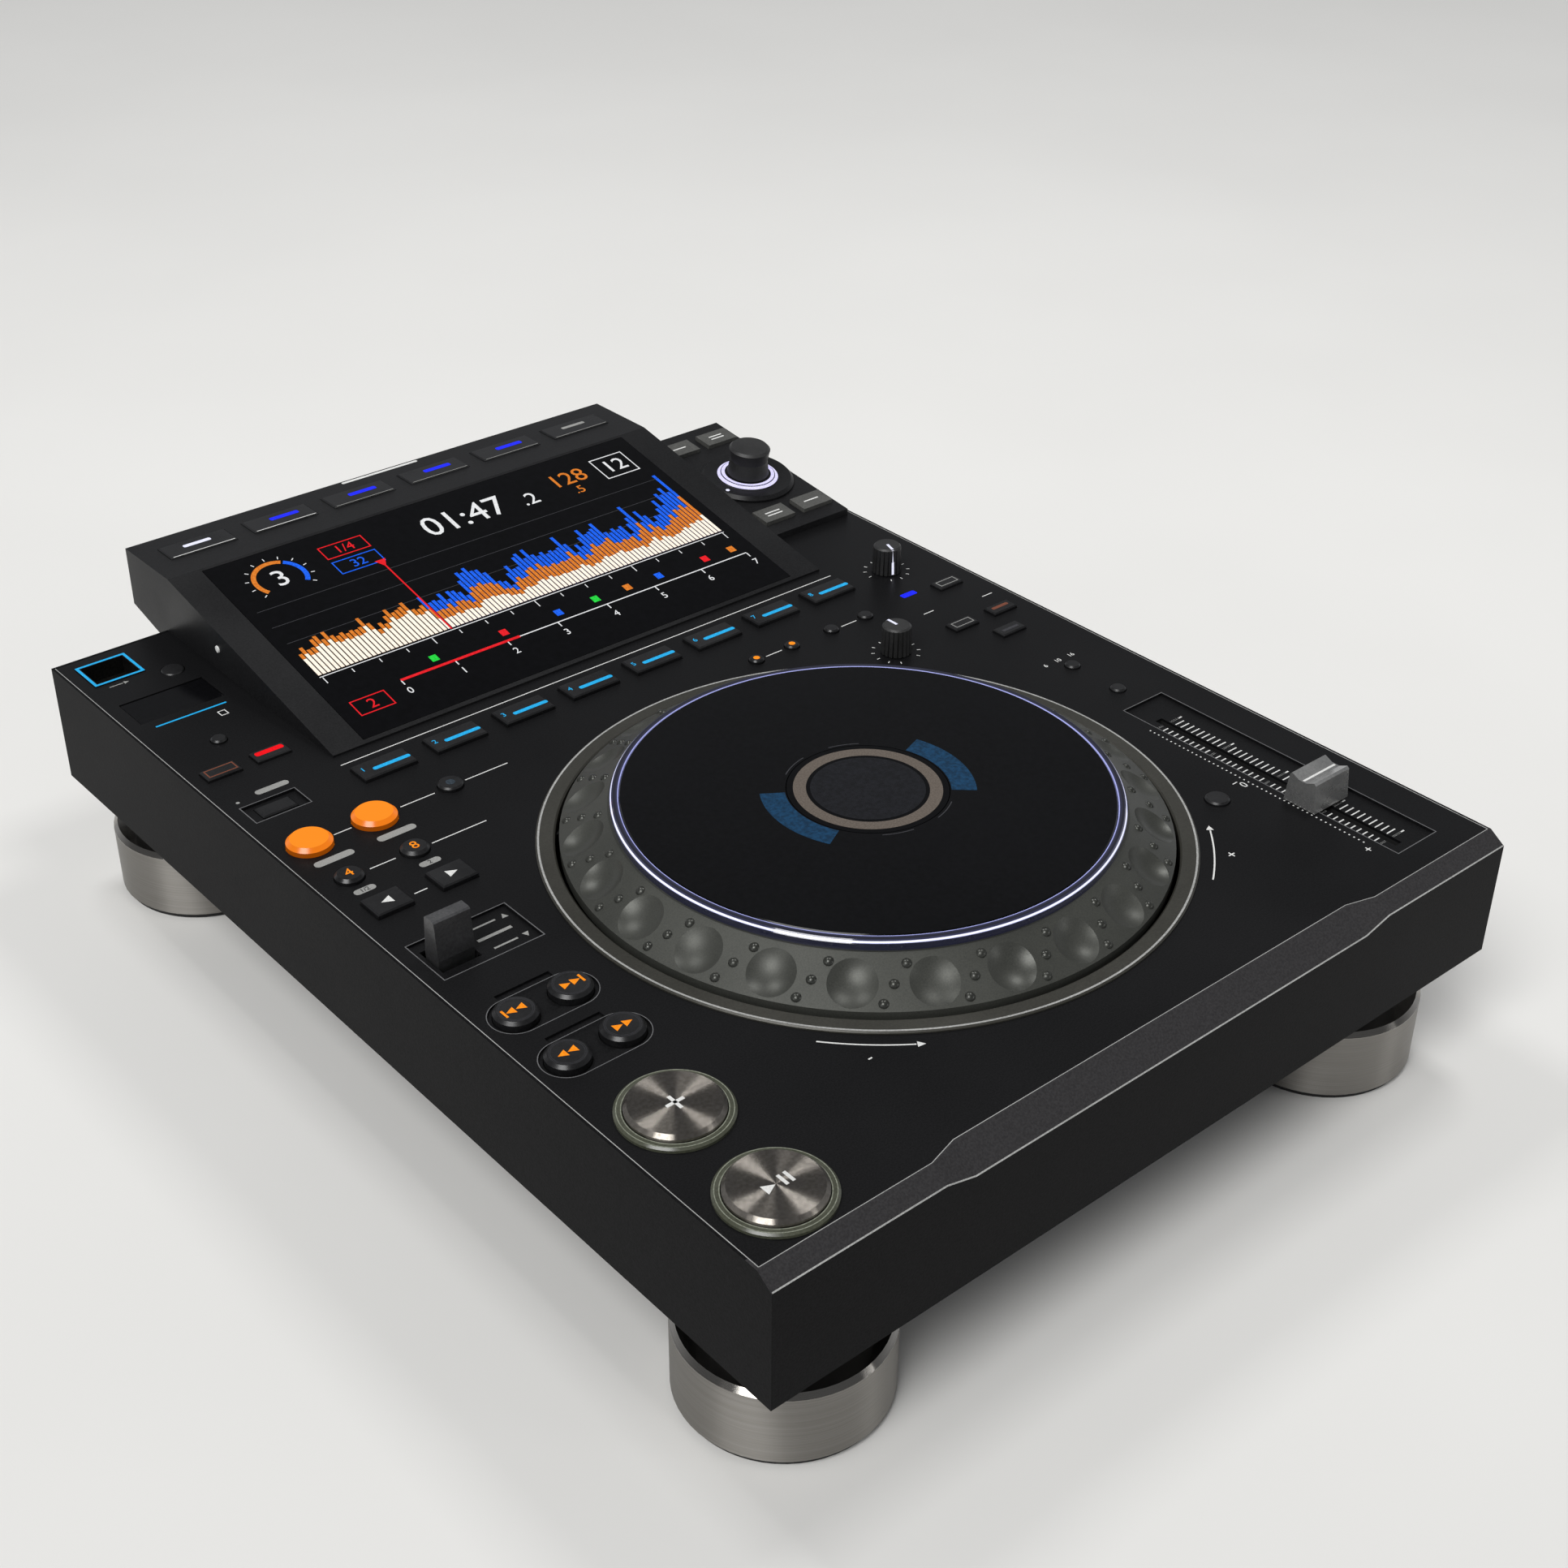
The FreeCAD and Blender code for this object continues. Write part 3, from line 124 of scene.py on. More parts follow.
def lit(name, dark, light, strength, grain=0.6):
    """A lit plastic window over a dark body: colour that glows, with the faint mottling of its diffuser."""
    glow = strength * bpy.context.scene.player_finishes.glow
    tree, shader, place = new_material(name, Roughness=0.35, Specular_IOR_Level=0.15, Emission_Strength=glow)
    fine = add(tree, "ShaderNodeTexNoise", {"Scale": 1 / (grain * MM), "Detail": 2.0}, {"Vector": place})
    shown = [linear(code) for code in (dark, light)]
    body = [[channel * UNLIT for channel in colour[:3]] + [1.0] for colour in shown]
    join(tree, shader, {"Base Color": tone(tree, fine, *body), "Emission Color": tone(tree, fine, *shown)})


def paint(ink, *nodes):
    """Give CAD nodes their finish."""
    for node in nodes:
        data = NODES[node].data
        if not data.materials:
            data.materials.append(FINISH[ink])
        for index in range(len(data.materials)):
            data.materials[index] = FINISH[ink]


def settle(name, work, ink, body):
    """Turn a bmesh into a piece with its finish that rides on a body."""
    data = bpy.data.meshes.new(name)
    work.to_mesh(data)
    work.free()
    made = bpy.data.objects.new(name, data)
    bpy.context.scene.collection.objects.link(made)
    data.materials.append(FINISH[ink])
    if body:
        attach(made, body)
    return made


def piece(name, build, ink, body="chassis"):
    """Make a piece from a bmesh that build fills."""
    work = bmesh.new()
    build(work)
    bmesh.ops.recalc_face_normals(work, faces=work.faces)
    return settle(name, work, ink, body)


def loft(work, rings, closed=False):
    """Faces between rings of corners; closed joins the last ring to the first, or else both get a cap."""
    rings = [[work.verts.new(corner) for corner in ring] for ring in rings]
    for one, two in zip(rings, rings[1:] + rings[:1] if closed else rings[1:]):
        for step in range(len(one)):
            after = (step + 1) % len(one)
            work.faces.new((one[step], one[after], two[after], two[step]))
    if not closed:
        work.faces.new(rings[0][::-1])
        work.faces.new(rings[-1])


def turned(work, profile, x, y, z, steps=64, place=PLAIN, closed=False):
    """A surface turned about an upright axis from (radius, height) pairs in millimetres."""
    loft(work, [[place @ (Vector((*polar(x, y, radius, 360 * step / steps), z + height)) * MM)
                 for step in range(steps)] for radius, height in profile], closed)


def spot(x, y, z, turn=0.0, axis="Z"):
    """A place in millimetres, turned about an axis by an angle in degrees."""
    return Matrix.Translation(Vector((x, y, z)) * MM) @ Matrix.Rotation(math.radians(turn), 4, axis)


def polar(x, y, radius, angle):
    """The point at an angle in degrees round a centre."""
    return x + radius * math.cos(math.radians(angle)), y + radius * math.sin(math.radians(angle))


def bar(x0, y0, x1, y1, width):
    """Outline of a straight line of the given width."""
    run = math.hypot(x1 - x0, y1 - y0)
    nx, ny = -(y1 - y0) / run * width / 2, (x1 - x0) / run * width / 2
    return [(x0 + nx, y0 + ny), (x0 - nx, y0 - ny), (x1 - nx, y1 - ny), (x1 + nx, y1 + ny)]


def tick(x, y, inner, outer, angle, width):
    """Outline of a short line that points away from a centre."""
    return bar(*polar(x, y, inner, angle), *polar(x, y, outer, angle), width)


def block(x, y, width, depth):
    """Outline of a rectangle about its middle."""
    return [(x + across * width / 2, y + along * depth / 2)
            for across, along in ((-1, -1), (1, -1), (1, 1), (-1, 1))]


def soft_block(x, y, width, depth, corner):
    """A block's outline with rounded corners."""
    return [polar(x + sx * (width / 2 - corner), y + sy * (depth / 2 - corner), corner, first + 18 * step)
            for sx, sy, first in ((1, 1, 0), (-1, 1, 90), (-1, -1, 180), (1, -1, 270)) for step in range(6)]


def arc(x, y, radius, width, start, stop, steps=24):
    """Outline of a curved line, angles in degrees."""
    angles = [start + (stop - start) * step / steps for step in range(steps + 1)]
    return ([polar(x, y, radius + width / 2, angle) for angle in angles]
            + [polar(x, y, radius - width / 2, angle) for angle in reversed(angles)])


def hoop(x, y, radius, width, parts, steps):
    """A full ring as outlines of equal arcs."""
    share = 360 // parts
    return [arc(x, y, radius, width, share * part, share * (part + 1), steps) for part in range(parts)]


def disc(x, y, radius, steps):
    """Outline of a disc."""
    return [polar(x, y, radius, 360 * step / steps) for step in range(steps)]


def wedge(x, y, size, turn):
    """A triangle pointing along the angle turn, in degrees."""
    return [polar(x, y, size * reach, turn + angle) for angle, reach in ((0, 0.62), (130, 0.72), (230, 0.72))]


def box_outline(x, y, width, depth, line):
    """Four bars round a block."""
    return [block(x, y + (depth - line) / 2, width, line), block(x, y - (depth - line) / 2, width, line),
            block(x - (width - line) / 2, y, line, depth - 2 * line),
            block(x + (width - line) / 2, y, line, depth - 2 * line)]


def centre(node):
    """Middle of a CAD node in millimetres: x, y and the height of its top."""
    low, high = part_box(node)
    return (low.x + high.x) / 2 / MM, (low.y + high.y) / 2 / MM, high.z / MM


DECK = centre("control_panel")[2]
JOG_X, JOG_Y = centre("jog_plate")[:2]
# The screen's face rises from (y, z) = (73.5, 93.2) to (191.5, 117.4)
SCREEN_SLOPE = (117.4 - 93.2) / (191.5 - 73.5)
SCREEN = spot(0, 132.8, 93.2 + 59.3 * SCREEN_SLOPE, math.degrees(math.atan(SCREEN_SLOPE)), "X")
POD = spot(139.8, 149.0, DECK + 8.0, 6.6, "X")
# Fader, lever and memory recesses: middle, width and depth
RECESSES = ((137.8, -147.3, 20.6, 123.6), (-139.0, -51.2, 37.2, 22.0), (-147.4, 59.0, 21.0, 11.4))
SEARCH_REACH = 8.95      # half the width of the recesses round the track and search buttons
BEND_OUT, BEND_IN = 100.4, 89      # where the front bevel widens towards the middle
# The bevel at its ends and in its middle: where its seam lies on the panel, its fall and its reach
BEVEL_END, BEVEL_MIDDLE = (6.7, 4.1, 6.1), (9.9, 7.1, 9.3)
BEVEL_BENDS = ((-BEND_OUT, BEVEL_END), (-BEND_IN, BEVEL_MIDDLE), (BEND_IN, BEVEL_MIDDLE),
               (BEND_OUT, BEVEL_END))
DOME_SINK = 1.2          # how far the centres of the grip ring's domes lie under its slope
ARROW_RADIUS = 117.6     # of the direction arcs in front of the jog wheel
SCREEN_SIDE = 96.0       # half the length of the row of level columns
FIGURE = 0.03            # half the thickness of the numbers, which stand this far off their surface
TRAY_FACE = 44.5         # height of the tray's underside between its necks
POINTER_ANGLES = {"jog_adjust": 90, "vinyl_speed": 252}
FIRST_TICKS = {"jog_adjust": -60, "vinyl_speed": -120}


def printed(name, outlines, ink, place=None, low=None, body="chassis"):
    """Flat print in millimetres, on the control panel unless a place or a height says otherwise."""
    base = (DECK if place is None else 0.0) if low is None else low
    top = base + bpy.context.scene.player_sizes.print_height / MM
    where = PLAIN if place is None else place

    def build(work):
        for outline in outlines:
            loft(work, [[where @ (Vector((across, along, height)) * MM) for across, along in outline]
                        for height in (base, top)])
    return piece(name, build, ink, body)


def numerals(name, items, ink, body="chassis", place=PLAIN):
    """Numbers and signs as thin raised print: (text, x, y, z, height) in millimetres."""
    whole = bmesh.new()
    for text, x, y, z, height in items:
        curve = bpy.data.curves.new("figure", "FONT")
        curve.body = text
        curve.size = height * FONT_SIZE * MM
        curve.align_x = curve.align_y = "CENTER"
        curve.extrude = FIGURE * MM
        curve.resolution_u = 3
        holder = bpy.data.objects.new("figure", curve)
        bpy.context.scene.collection.objects.link(holder)
        bpy.context.view_layer.update()
        flat = bpy.data.meshes.new_from_object(holder.evaluated_get(bpy.context.evaluated_depsgraph_get()))
        flat.transform(place @ spot(x, y, z))
        whole.from_mesh(flat)
        bpy.data.objects.remove(holder)
        bpy.data.curves.remove(curve)
        bpy.data.meshes.remove(flat)
    bmesh.ops.remove_doubles(whole, verts=whole.verts, dist=1e-7)
    return settle(name, whole, ink, body)


def mark(node, name, outlines, ink, body, drop=0.0):
    """Flat print on the top of a CAD node, in millimetres from its middle."""
    return printed(name, outlines, ink, spot(*centre(node)), -drop, body)


def repeat_tree(name, *inputs):
    """An empty geometry-nodes tree with its named inputs: Count is whole and the others are floats."""
    tree = bpy.data.node_groups.new(name, "GeometryNodeTree")
    tree.interface.new_socket("Geometry", in_out="OUTPUT", socket_type="NodeSocketGeometry")
    for title in inputs:
        kind = "NodeSocketInt" if title == "Count" else "NodeSocketFloat"
        tree.interface.new_socket(title, in_out="INPUT", socket_type=kind)
    return tree, add(tree, "NodeGroupInput").outputs


def close_tree(tree, instances, ink):
    """Realize the instances, give them their finish and send them out."""
    real = add(tree, "GeometryNodeRealizeInstances", links={"Geometry": instances})
    coated = add(tree, "GeometryNodeSetMaterial", {"Material": FINISH[ink]}, {"Geometry": real})
    add(tree, "NodeGroupOutput", links={"Geometry": coated})
    return tree


def repeat(name, tree, values, body, place=PLAIN):
    """Run a tree on an empty mesh and keep the result as one plain mesh on a body."""
    data = bpy.data.meshes.new(name)
    made = bpy.data.objects.new(name, data)
    bpy.context.scene.collection.objects.link(made)
    modifier = made.modifiers.new("Repeat", "NODES")
    modifier.node_group = tree
    sockets = {item.name: item.identifier for item in tree.interface.items_tree if item.in_out == "INPUT"}
    for key, value in values.items():
        modifier[sockets[key]] = value
    bpy.context.view_layer.update()
    plain = bpy.data.meshes.new_from_object(made.evaluated_get(bpy.context.evaluated_depsgraph_get()))
    made.modifiers.remove(modifier)
    plain.transform(place)
    made.data = plain
    plain.name = name + "_mesh"
    bpy.data.meshes.remove(data)
    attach(made, body)
    return made


def dome_ring_tree(ink):
    """Domes in a ring: Count, Ring radius, Height, Dome radius and Turn."""
    tree, given = repeat_tree("Dome ring", "Count", "Ring radius", "Height", "Dome radius", "Turn")
    ring = add(tree, "GeometryNodeMeshCircle",
               links={"Vertices": given["Count"], "Radius": given["Ring radius"]})
    turn = add(tree, "ShaderNodeCombineXYZ", links={"Z": given["Turn"]})
    lift = add(tree, "ShaderNodeCombineXYZ", {"X": JOG_X * MM, "Y": JOG_Y * MM}, {"Z": given["Height"]})
    seated = add(tree, "GeometryNodeTransform",
                 links={"Geometry": ring, "Translation": lift, "Rotation": turn})
    dome = add(tree, "GeometryNodeMeshUVSphere", {"Segments": 14, "Rings": 9},
               {"Radius": given["Dome radius"]})
    soft = add(tree, "GeometryNodeSetShadeSmooth", links={"Geometry": dome})
    spread = add(tree, "GeometryNodeInstanceOnPoints", links={"Points": seated, "Instance": soft})
    return close_tree(tree, spread, ink)


def row_tree(ink):
    """Bars in a row along X; noise sets each bar's reach, and Rise 0.5 stands them on the row's line."""
    tree, given = repeat_tree("Bar row", "Count", "Length", "Wide", "Least", "Most", "Thick", "Seed", "Rise")
    half = add(tree, "ShaderNodeMath", {"operation": "MULTIPLY", 1: -0.5}, {0: given["Length"]})
    begin = add(tree, "ShaderNodeCombineXYZ", links={"X": half})
    less = add(tree, "ShaderNodeMath", {"operation": "SUBTRACT", 1: 1.0}, {0: given["Count"]})
    pitch = add(tree, "ShaderNodeMath", {"operation": "DIVIDE"}, {0: given["Length"], 1: less})
    step = add(tree, "ShaderNodeCombineXYZ", links={"X": pitch})
    line = add(tree, "GeometryNodeMeshLine", {"mode": "OFFSET"},
               {"Count": given["Count"], "Start Location": begin, "Offset": step})
    where = add(tree, "GeometryNodeInputPosition")
    # Broad swells along the row, and quick steps from bar to bar
    slow, quick = [add(tree, "ShaderNodeTexNoise",
                       {"noise_dimensions": "4D", "Scale": scale, "Detail": detail},
                       {"Vector": where, "W": given["Seed"]})
                   for scale, detail in ((42.0, 2.0), (900.0, 3.0))]
    swell = add(tree, "ShaderNodeMapRange", {"From Min": 0.3, "From Max": 0.68}, {"Value": slow})
    bite = add(tree, "ShaderNodeMapRange", {"From Min": 0.3, "From Max": 0.7, "To Min": 0.35, "To Max": 1.0},
               {"Value": quick})
    both = add(tree, "ShaderNodeMath", {"operation": "MULTIPLY"}, {0: swell, 1: bite})
    reach = add(tree, "ShaderNodeMapRange", links={"Value": both, "To Min": given["Least"],
                                                   "To Max": given["Most"]})
    size = add(tree, "ShaderNodeCombineXYZ", links={"X": given["Wide"], "Y": reach, "Z": given["Thick"]})
    cube = add(tree, "GeometryNodeMeshCube", {"Size": (1.0, 1.0, 1.0)})
    rise = add(tree, "ShaderNodeCombineXYZ", links={"Y": given["Rise"]})
    stood = add(tree, "GeometryNodeTransform", links={"Geometry": cube, "Translation": rise})
    spread = add(tree, "GeometryNodeInstanceOnPoints",
                 links={"Points": line, "Instance": stood, "Scale": size})
    return close_tree(tree, spread, ink)


def row(name, ink, place, count, length, wide, least, most, thick=0.04, seed=0.0, rise=0.0):
    """A row of bars on the chassis, sizes in millimetres."""
    return repeat(name, row_tree(ink), {"Count": count, "Length": length * MM, "Wide": wide * MM,
                                        "Least": least * MM, "Most": most * MM, "Thick": thick * MM,
                                        "Seed": seed, "Rise": rise}, "chassis", place)


class PlayerFinishes(bpy.types.PropertyGroup):
    panel_dark: bpy.props.StringProperty(name="Panel dark", description="Darker tone of the control panel",
                                         default="#0a0a0b")
    panel_light: bpy.props.StringProperty(name="Panel light", description="Lighter tone of the control panel",
                                          default="#171718")
    amber: bpy.props.StringProperty(name="Amber", description="Colour of the lit loop buttons",
                                    default="#ff8f0a")
    cyan: bpy.props.StringProperty(name="Cyan", description="Colour of the lit hot cue bars",
                                   default="#27b0ea")
    glow: bpy.props.FloatProperty(name="Glow", description="Strength of the lit windows", default=1.0,
                                  min=0.0)


class PlayerSizes(bpy.types.PropertyGroup):
    print_height: bpy.props.FloatProperty(name="Print", description="Thickness of the printed marks",
                                          default=0.00004, unit="LENGTH")
    dome_radius: bpy.props.FloatProperty(name="Dome", description="Radius of the grip ring's small domes",
                                         default=0.0020, unit="LENGTH")
    columns: bpy.props.IntProperty(name="Columns", description="Level columns on the screen", default=98,
                                   min=8)
    seed: bpy.props.IntProperty(name="Seed", description="Seed of the level columns", default=7)


class StudioSettings(bpy.types.PropertyGroup):
    lens: bpy.props.FloatProperty(name="Lens", description="Focal length on a 36 mm sensor", default=51.58)
    floor: bpy.props.StringProperty(name="Floor", description="Colour of the floor", default="#dcdbd8")
    sky: bpy.props.FloatProperty(name="Sky", description="Strength of the soft light all round", default=0.22)
    key: bpy.props.FloatProperty(name="Key", description="Strength of the soft key light", default=2.3)


def make_finishes():
    """Every finish of the player by its real name, with the paints that stand in for highlights, sheen and
    shade.
    """
    look = bpy.context.scene.player_finishes
    # Black anodised aluminium sheet, bead-blasted: a dull, faintly sparkling skin
    moulded("anodised_sheet", look.panel_dark, look.panel_light, 0.36, 0.55, 0.03, 80, 0.03,
            Specular_IOR_Level=0.1)
    # ABS moulding with a fine leather-like spark texture: breaks highlights into grains
    moulded("textured_abs", "#0a0a0b", "#151516", 0.50, 0.8, 0.06, 50, 0.02, Specular_IOR_Level=0.05)
    case_finish()
    # Smooth black ABS key tops, lightly polished by fingers
    moulded("key_abs", "#0e0e0f", "#19191a", 0.32, 0.9, 0.015, 20, Specular_IOR_Level=0.4)
    # Gloss black acrylic under a hard coat
    moulded("gloss_acrylic", "#040405", "#08080a", 0.12, 2.0, 0.002, 70, 0.03, Specular_IOR_Level=0.22)
    # Warm grey satin paint of the fixed ring
    moulded("satin_grey", "#34332e", "#403f39", 0.34, 0.6, 0.02, 40, Metallic=0.35)
    # Rubberised grey paint of the grip ring
    moulded("grip_paint", "#3b3c38", "#484944", 0.42, 0.5, 0.015, 35, Metallic=0.45)
    # Grey polycarbonate keys round the selector
    moulded("grey_pc", "#3f3f3d", "#52524f", 0.35, 0.9, 0.015, 18)
    # Soft black rubber
    moulded("rubber", "#0d0d0d", "#191919", 0.72, 0.8, 0.05, 25)
    # Green glass-fibre laminate
    moulded("laminate", "#0c3a1e", "#12502a", 0.4, 1.2, 0.02)
    # White screen-printed ink
    moulded("white_ink", "#bdbdbb", "#e2e2df", 0.5, 0.4, 0.004, 15)
    # Dim grey ink
    moulded("grey_ink", "#7d7d7b", "#969692", 0.5, 0.4, 0.004, 15)
    # Milky polycarbonate light ring, unlit
    moulded("milky_ring", "#3a3c31", "#4a4c3f", 0.25, 1.0, 0.004, 14)
    # Die-cast lever, blackened: dull metal with a soft shine
    moulded("dark_metal", "#5b5b5c", "#6c6c6d", 0.36, 0.9, 0.006, 12, Metallic=0.85)
    # Screen housing: ABS with a slightly paler tool texture than the case
    moulded("housing_abs", "#0f0f10", "#1c1c1d", 0.42, 0.7, 0.04, 50, Specular_IOR_Level=0.18)
    # Powder-coated steel
    moulded("black_steel", "#0f0f10", "#1c1c1d", 0.5, 0.9, 0.03, 40)
    # Painted highlight: pale lines along the edges of the panel, the front bevel and the jog surround,
    # standing in for the light those edges catch
    moulded("edge_highlight_paint", "#8f8f8d", "#b6b6b3", 0.25, 0.6, 0.002, 20, Metallic=0.15)
    # The domes of the grip ring, polished a little by fingers
    moulded("dome_paint", "#30312e", "#3f403b", 0.30, 0.4, 0.004, 20, Metallic=0.5)
    # Black glass over a dark display
    moulded("display_glass", "#020203", "#050507", 0.07, 3.0, 0.001, 90, 0.02, Specular_IOR_Level=0.2)
    # Metallised gloss ABS of the fader cap
    moulded("cap_gloss", "#9a9a99", "#adadab", 0.27, 0.9, 0.003, 12, Metallic=0.75)
    # Soft-touch rubber of the knobs
    moulded("knob_rubber", "#151515", "#242424", 0.5, 0.6, 0.02, 10)
    # Nickel plate, bright on the rear sockets, and a dark tone on the USB socket and the tray screws
    moulded("nickel", "#8f8d88", "#a5a39d", 0.22, 0.9, 0.003, 10, Metallic=1.0)
    moulded("nickel_dark", "#2d2c2a", "#43423f", 0.32, 0.9, 0.004, 10, Metallic=0.9)
    # Painted highlight: grey lines round the rims of the recesses, standing in for the light their edges
    # catch
    moulded("painted_rim_highlight", "#4c4c4d", "#6a6a6b", 0.3, 0.5, 0.002, 9)
    spun_metal()
    brushed_foot()
    clear_ring()
    amber_cap(look.amber)
    # Dyed polycarbonate windows over bright lamps
    lit("cyan_lit", "#1b9ad4", look.cyan, 1.0)
    lit("red_lit", "#e6000e", "#ff0a1a", 0.9)
    lit("blue_lit", "#0a14f0", "#1a2cff", 1.0)
    lit("white_lit", "#dfe2ff", "#f6f6ff", 0.9)
    lit("orange_sign", "#f08008", "#ff9a1c", 0.95)
    lit("collar_lit", "#cfc9ff", "#ece9ff", 0.95)
    # The same windows with their lamps turned low
    # Painted highlight, not a lamp: a faint glow along the edges of the play and cue rings
    lit("painted_ring_edge_highlight", "#7f8374", "#a3a797", 0.6)
    lit("taupe_lit", "#6b625a", "#7d736a", 0.6)
    lit("dim_disc", "#1f2024", "#292a30", 0.35, 1.5)
    lit("sector_blue", "#143a58", "#1d5078", 0.5, 1.2)
    lit("dim_line", "#55555a", "#6a6a70", 0.25)
    lit("lens_grey", "#3c4854", "#55636f", 0.3)
    lit("rust_dim", "#7d4a3c", "#94583f", 0.6)
    # Liquid-crystal cells of the screen: even, saturated light
    lit("wave_blue", "#0d52d8", "#1f6dff", 0.9)
    lit("wave_orange", "#c96a1c", "#e88a30", 0.9)
    lit("wave_cream", "#f4e9d6", "#fff8ea", 0.95)
    lit("screen_white", "#d6d8da", "#f2f3f4", 0.9)
    lit("screen_red", "#d8121c", "#f3222c", 0.9)
    lit("screen_green", "#14c433", "#2fe04c", 0.9)


def amber_cap(amber):
    """Translucent amber cap over a lamp, with painted shade in its glow: bright on faces that point up,
    darker down its sides.
    """
    glow = 0.95 * bpy.context.scene.player_finishes.glow
    tree, shader, place = new_material("amber_cap", Roughness=0.25, Base_Color=linear("#3a1c02"),
                                       Emission_Strength=glow)
    # Painted shade: the glow follows the way each face points, darker on the sides
    facing = add(tree, "ShaderNodeNewGeometry").outputs["Normal"]
    up = add(tree, "ShaderNodeSeparateXYZ", links={"Vector": facing}).outputs["Z"]
    haze = add(tree, "ShaderNodeTexNoise", {"Scale": 1 / (5.0 * MM), "Detail": 1.0}, {"Vector": place})
    face = add(tree, "ShaderNodeMath", {"operation": "MULTIPLY_ADD", 1: 0.1}, {0: haze, 2: up})
    shade = add(tree, "ShaderNodeValToRGB", links={"Fac": face}, stops=[
        (at, linear(code)) for at, code in ((0.1, "#8a3f00"), (0.75, "#ef7a05"), (1.0, amber))])
    join(tree, shader, {"Emission Color": shade})


def spun_metal():
    """Aluminium spun on a lathe: rings too fine to see stretch every highlight into a radial fan."""
    tree, shader, place = new_material("spun_metal", Metallic=1.0, Anisotropic=1.0, Anisotropic_Rotation=0.25)
    turn = add(tree, "ShaderNodeTangent", {"direction_type": "RADIAL", "axis": "Z"})
    grain = add(tree, "ShaderNodeTexNoise", {"Scale": 1 / (1.2 * MM), "Detail": 3.0}, {"Vector": place})
    spread = add(tree, "ShaderNodeMapRange", {"To Min": 0.262, "To Max": 0.276}, {"Value": grain})
    join(tree, shader, {"Tangent": turn, "Roughness": spread,
                        "Base Color": tone(tree, grain, linear("#7d7871"), linear("#8f8a83"))})


def brushed_foot():
    """Turned aluminium: fine lines round the foot every 0.3 mm, polished at the chamfer."""
    tree, shader, place = new_material("brushed_foot", Metallic=1.0, Anisotropic=0.9)
    upright = add(tree, "ShaderNodeCombineXYZ", {"Z": 1.0})
    lines = add(tree, "ShaderNodeMapping", {"Scale": (18.0, 18.0, 1 / (0.3 * MM))}, {"Vector": place})
    grain = add(tree, "ShaderNodeTexNoise", {"Scale": 1.0, "Detail": 3.0}, {"Vector": lines})
    height = add(tree, "ShaderNodeSeparateXYZ", links={"Vector": place}).outputs["Z"]
    polish = add(tree, "ShaderNodeMapRange", {"From Min": 0.0272, "From Max": 0.0278, "To Min": 0.42,
                                              "To Max": 0.12}, {"Value": height})
    bump = add(tree, "ShaderNodeBump", {"Strength": 0.12, "Distance": 0.01 * MM}, {"Height": grain})
    join(tree, shader, {"Tangent": upright, "Roughness": polish, "Normal": bump,
                        "Base Color": tone(tree, grain, linear("#8a8782"), linear("#94918c"))})


def clear_ring():
    """Clear acrylic lit from inside: pale violet edges fading to dark glass."""
    tree, shader, place = new_material("clear_ring", Roughness=0.08, Coat_Weight=0.5, Emission_Strength=0.5)
    away = add(tree, "ShaderNodeVectorMath",
               {"operation": "SUBTRACT", 1: (JOG_X * MM, JOG_Y * MM, 0)}, {0: place})
    split = add(tree, "ShaderNodeSeparateXYZ", links={"Vector": away}).outputs
    across = add(tree, "ShaderNodeMath", {"operation": "MULTIPLY"}, {0: split["X"], 1: split["X"]})
    square = add(tree, "ShaderNodeMath", {"operation": "MULTIPLY_ADD"},
                 {0: split["Y"], 1: split["Y"], 2: across})
    radius = add(tree, "ShaderNodeMath", {"operation": "SQRT"}, {0: square})
    band = add(tree, "ShaderNodeMapRange", {"From Min": 84.4 * MM, "From Max": 87.4 * MM}, {"Value": radius})
    glass = add(tree, "ShaderNodeValToRGB", links={"Fac": band}, stops=[(at, linear(code)) for at, code in (
        (0.0, "#a9aeea"), (0.12, "#23243a"), (0.5, "#101016"), (0.76, "#2a2c46"), (0.81, "#e9eaff"),
        (0.90, "#d4d7ff"), (0.95, "#1e2033"), (1.0, "#1a1b2a"))])
    join(tree, shader, {"Base Color": glass, "Emission Color": glass})


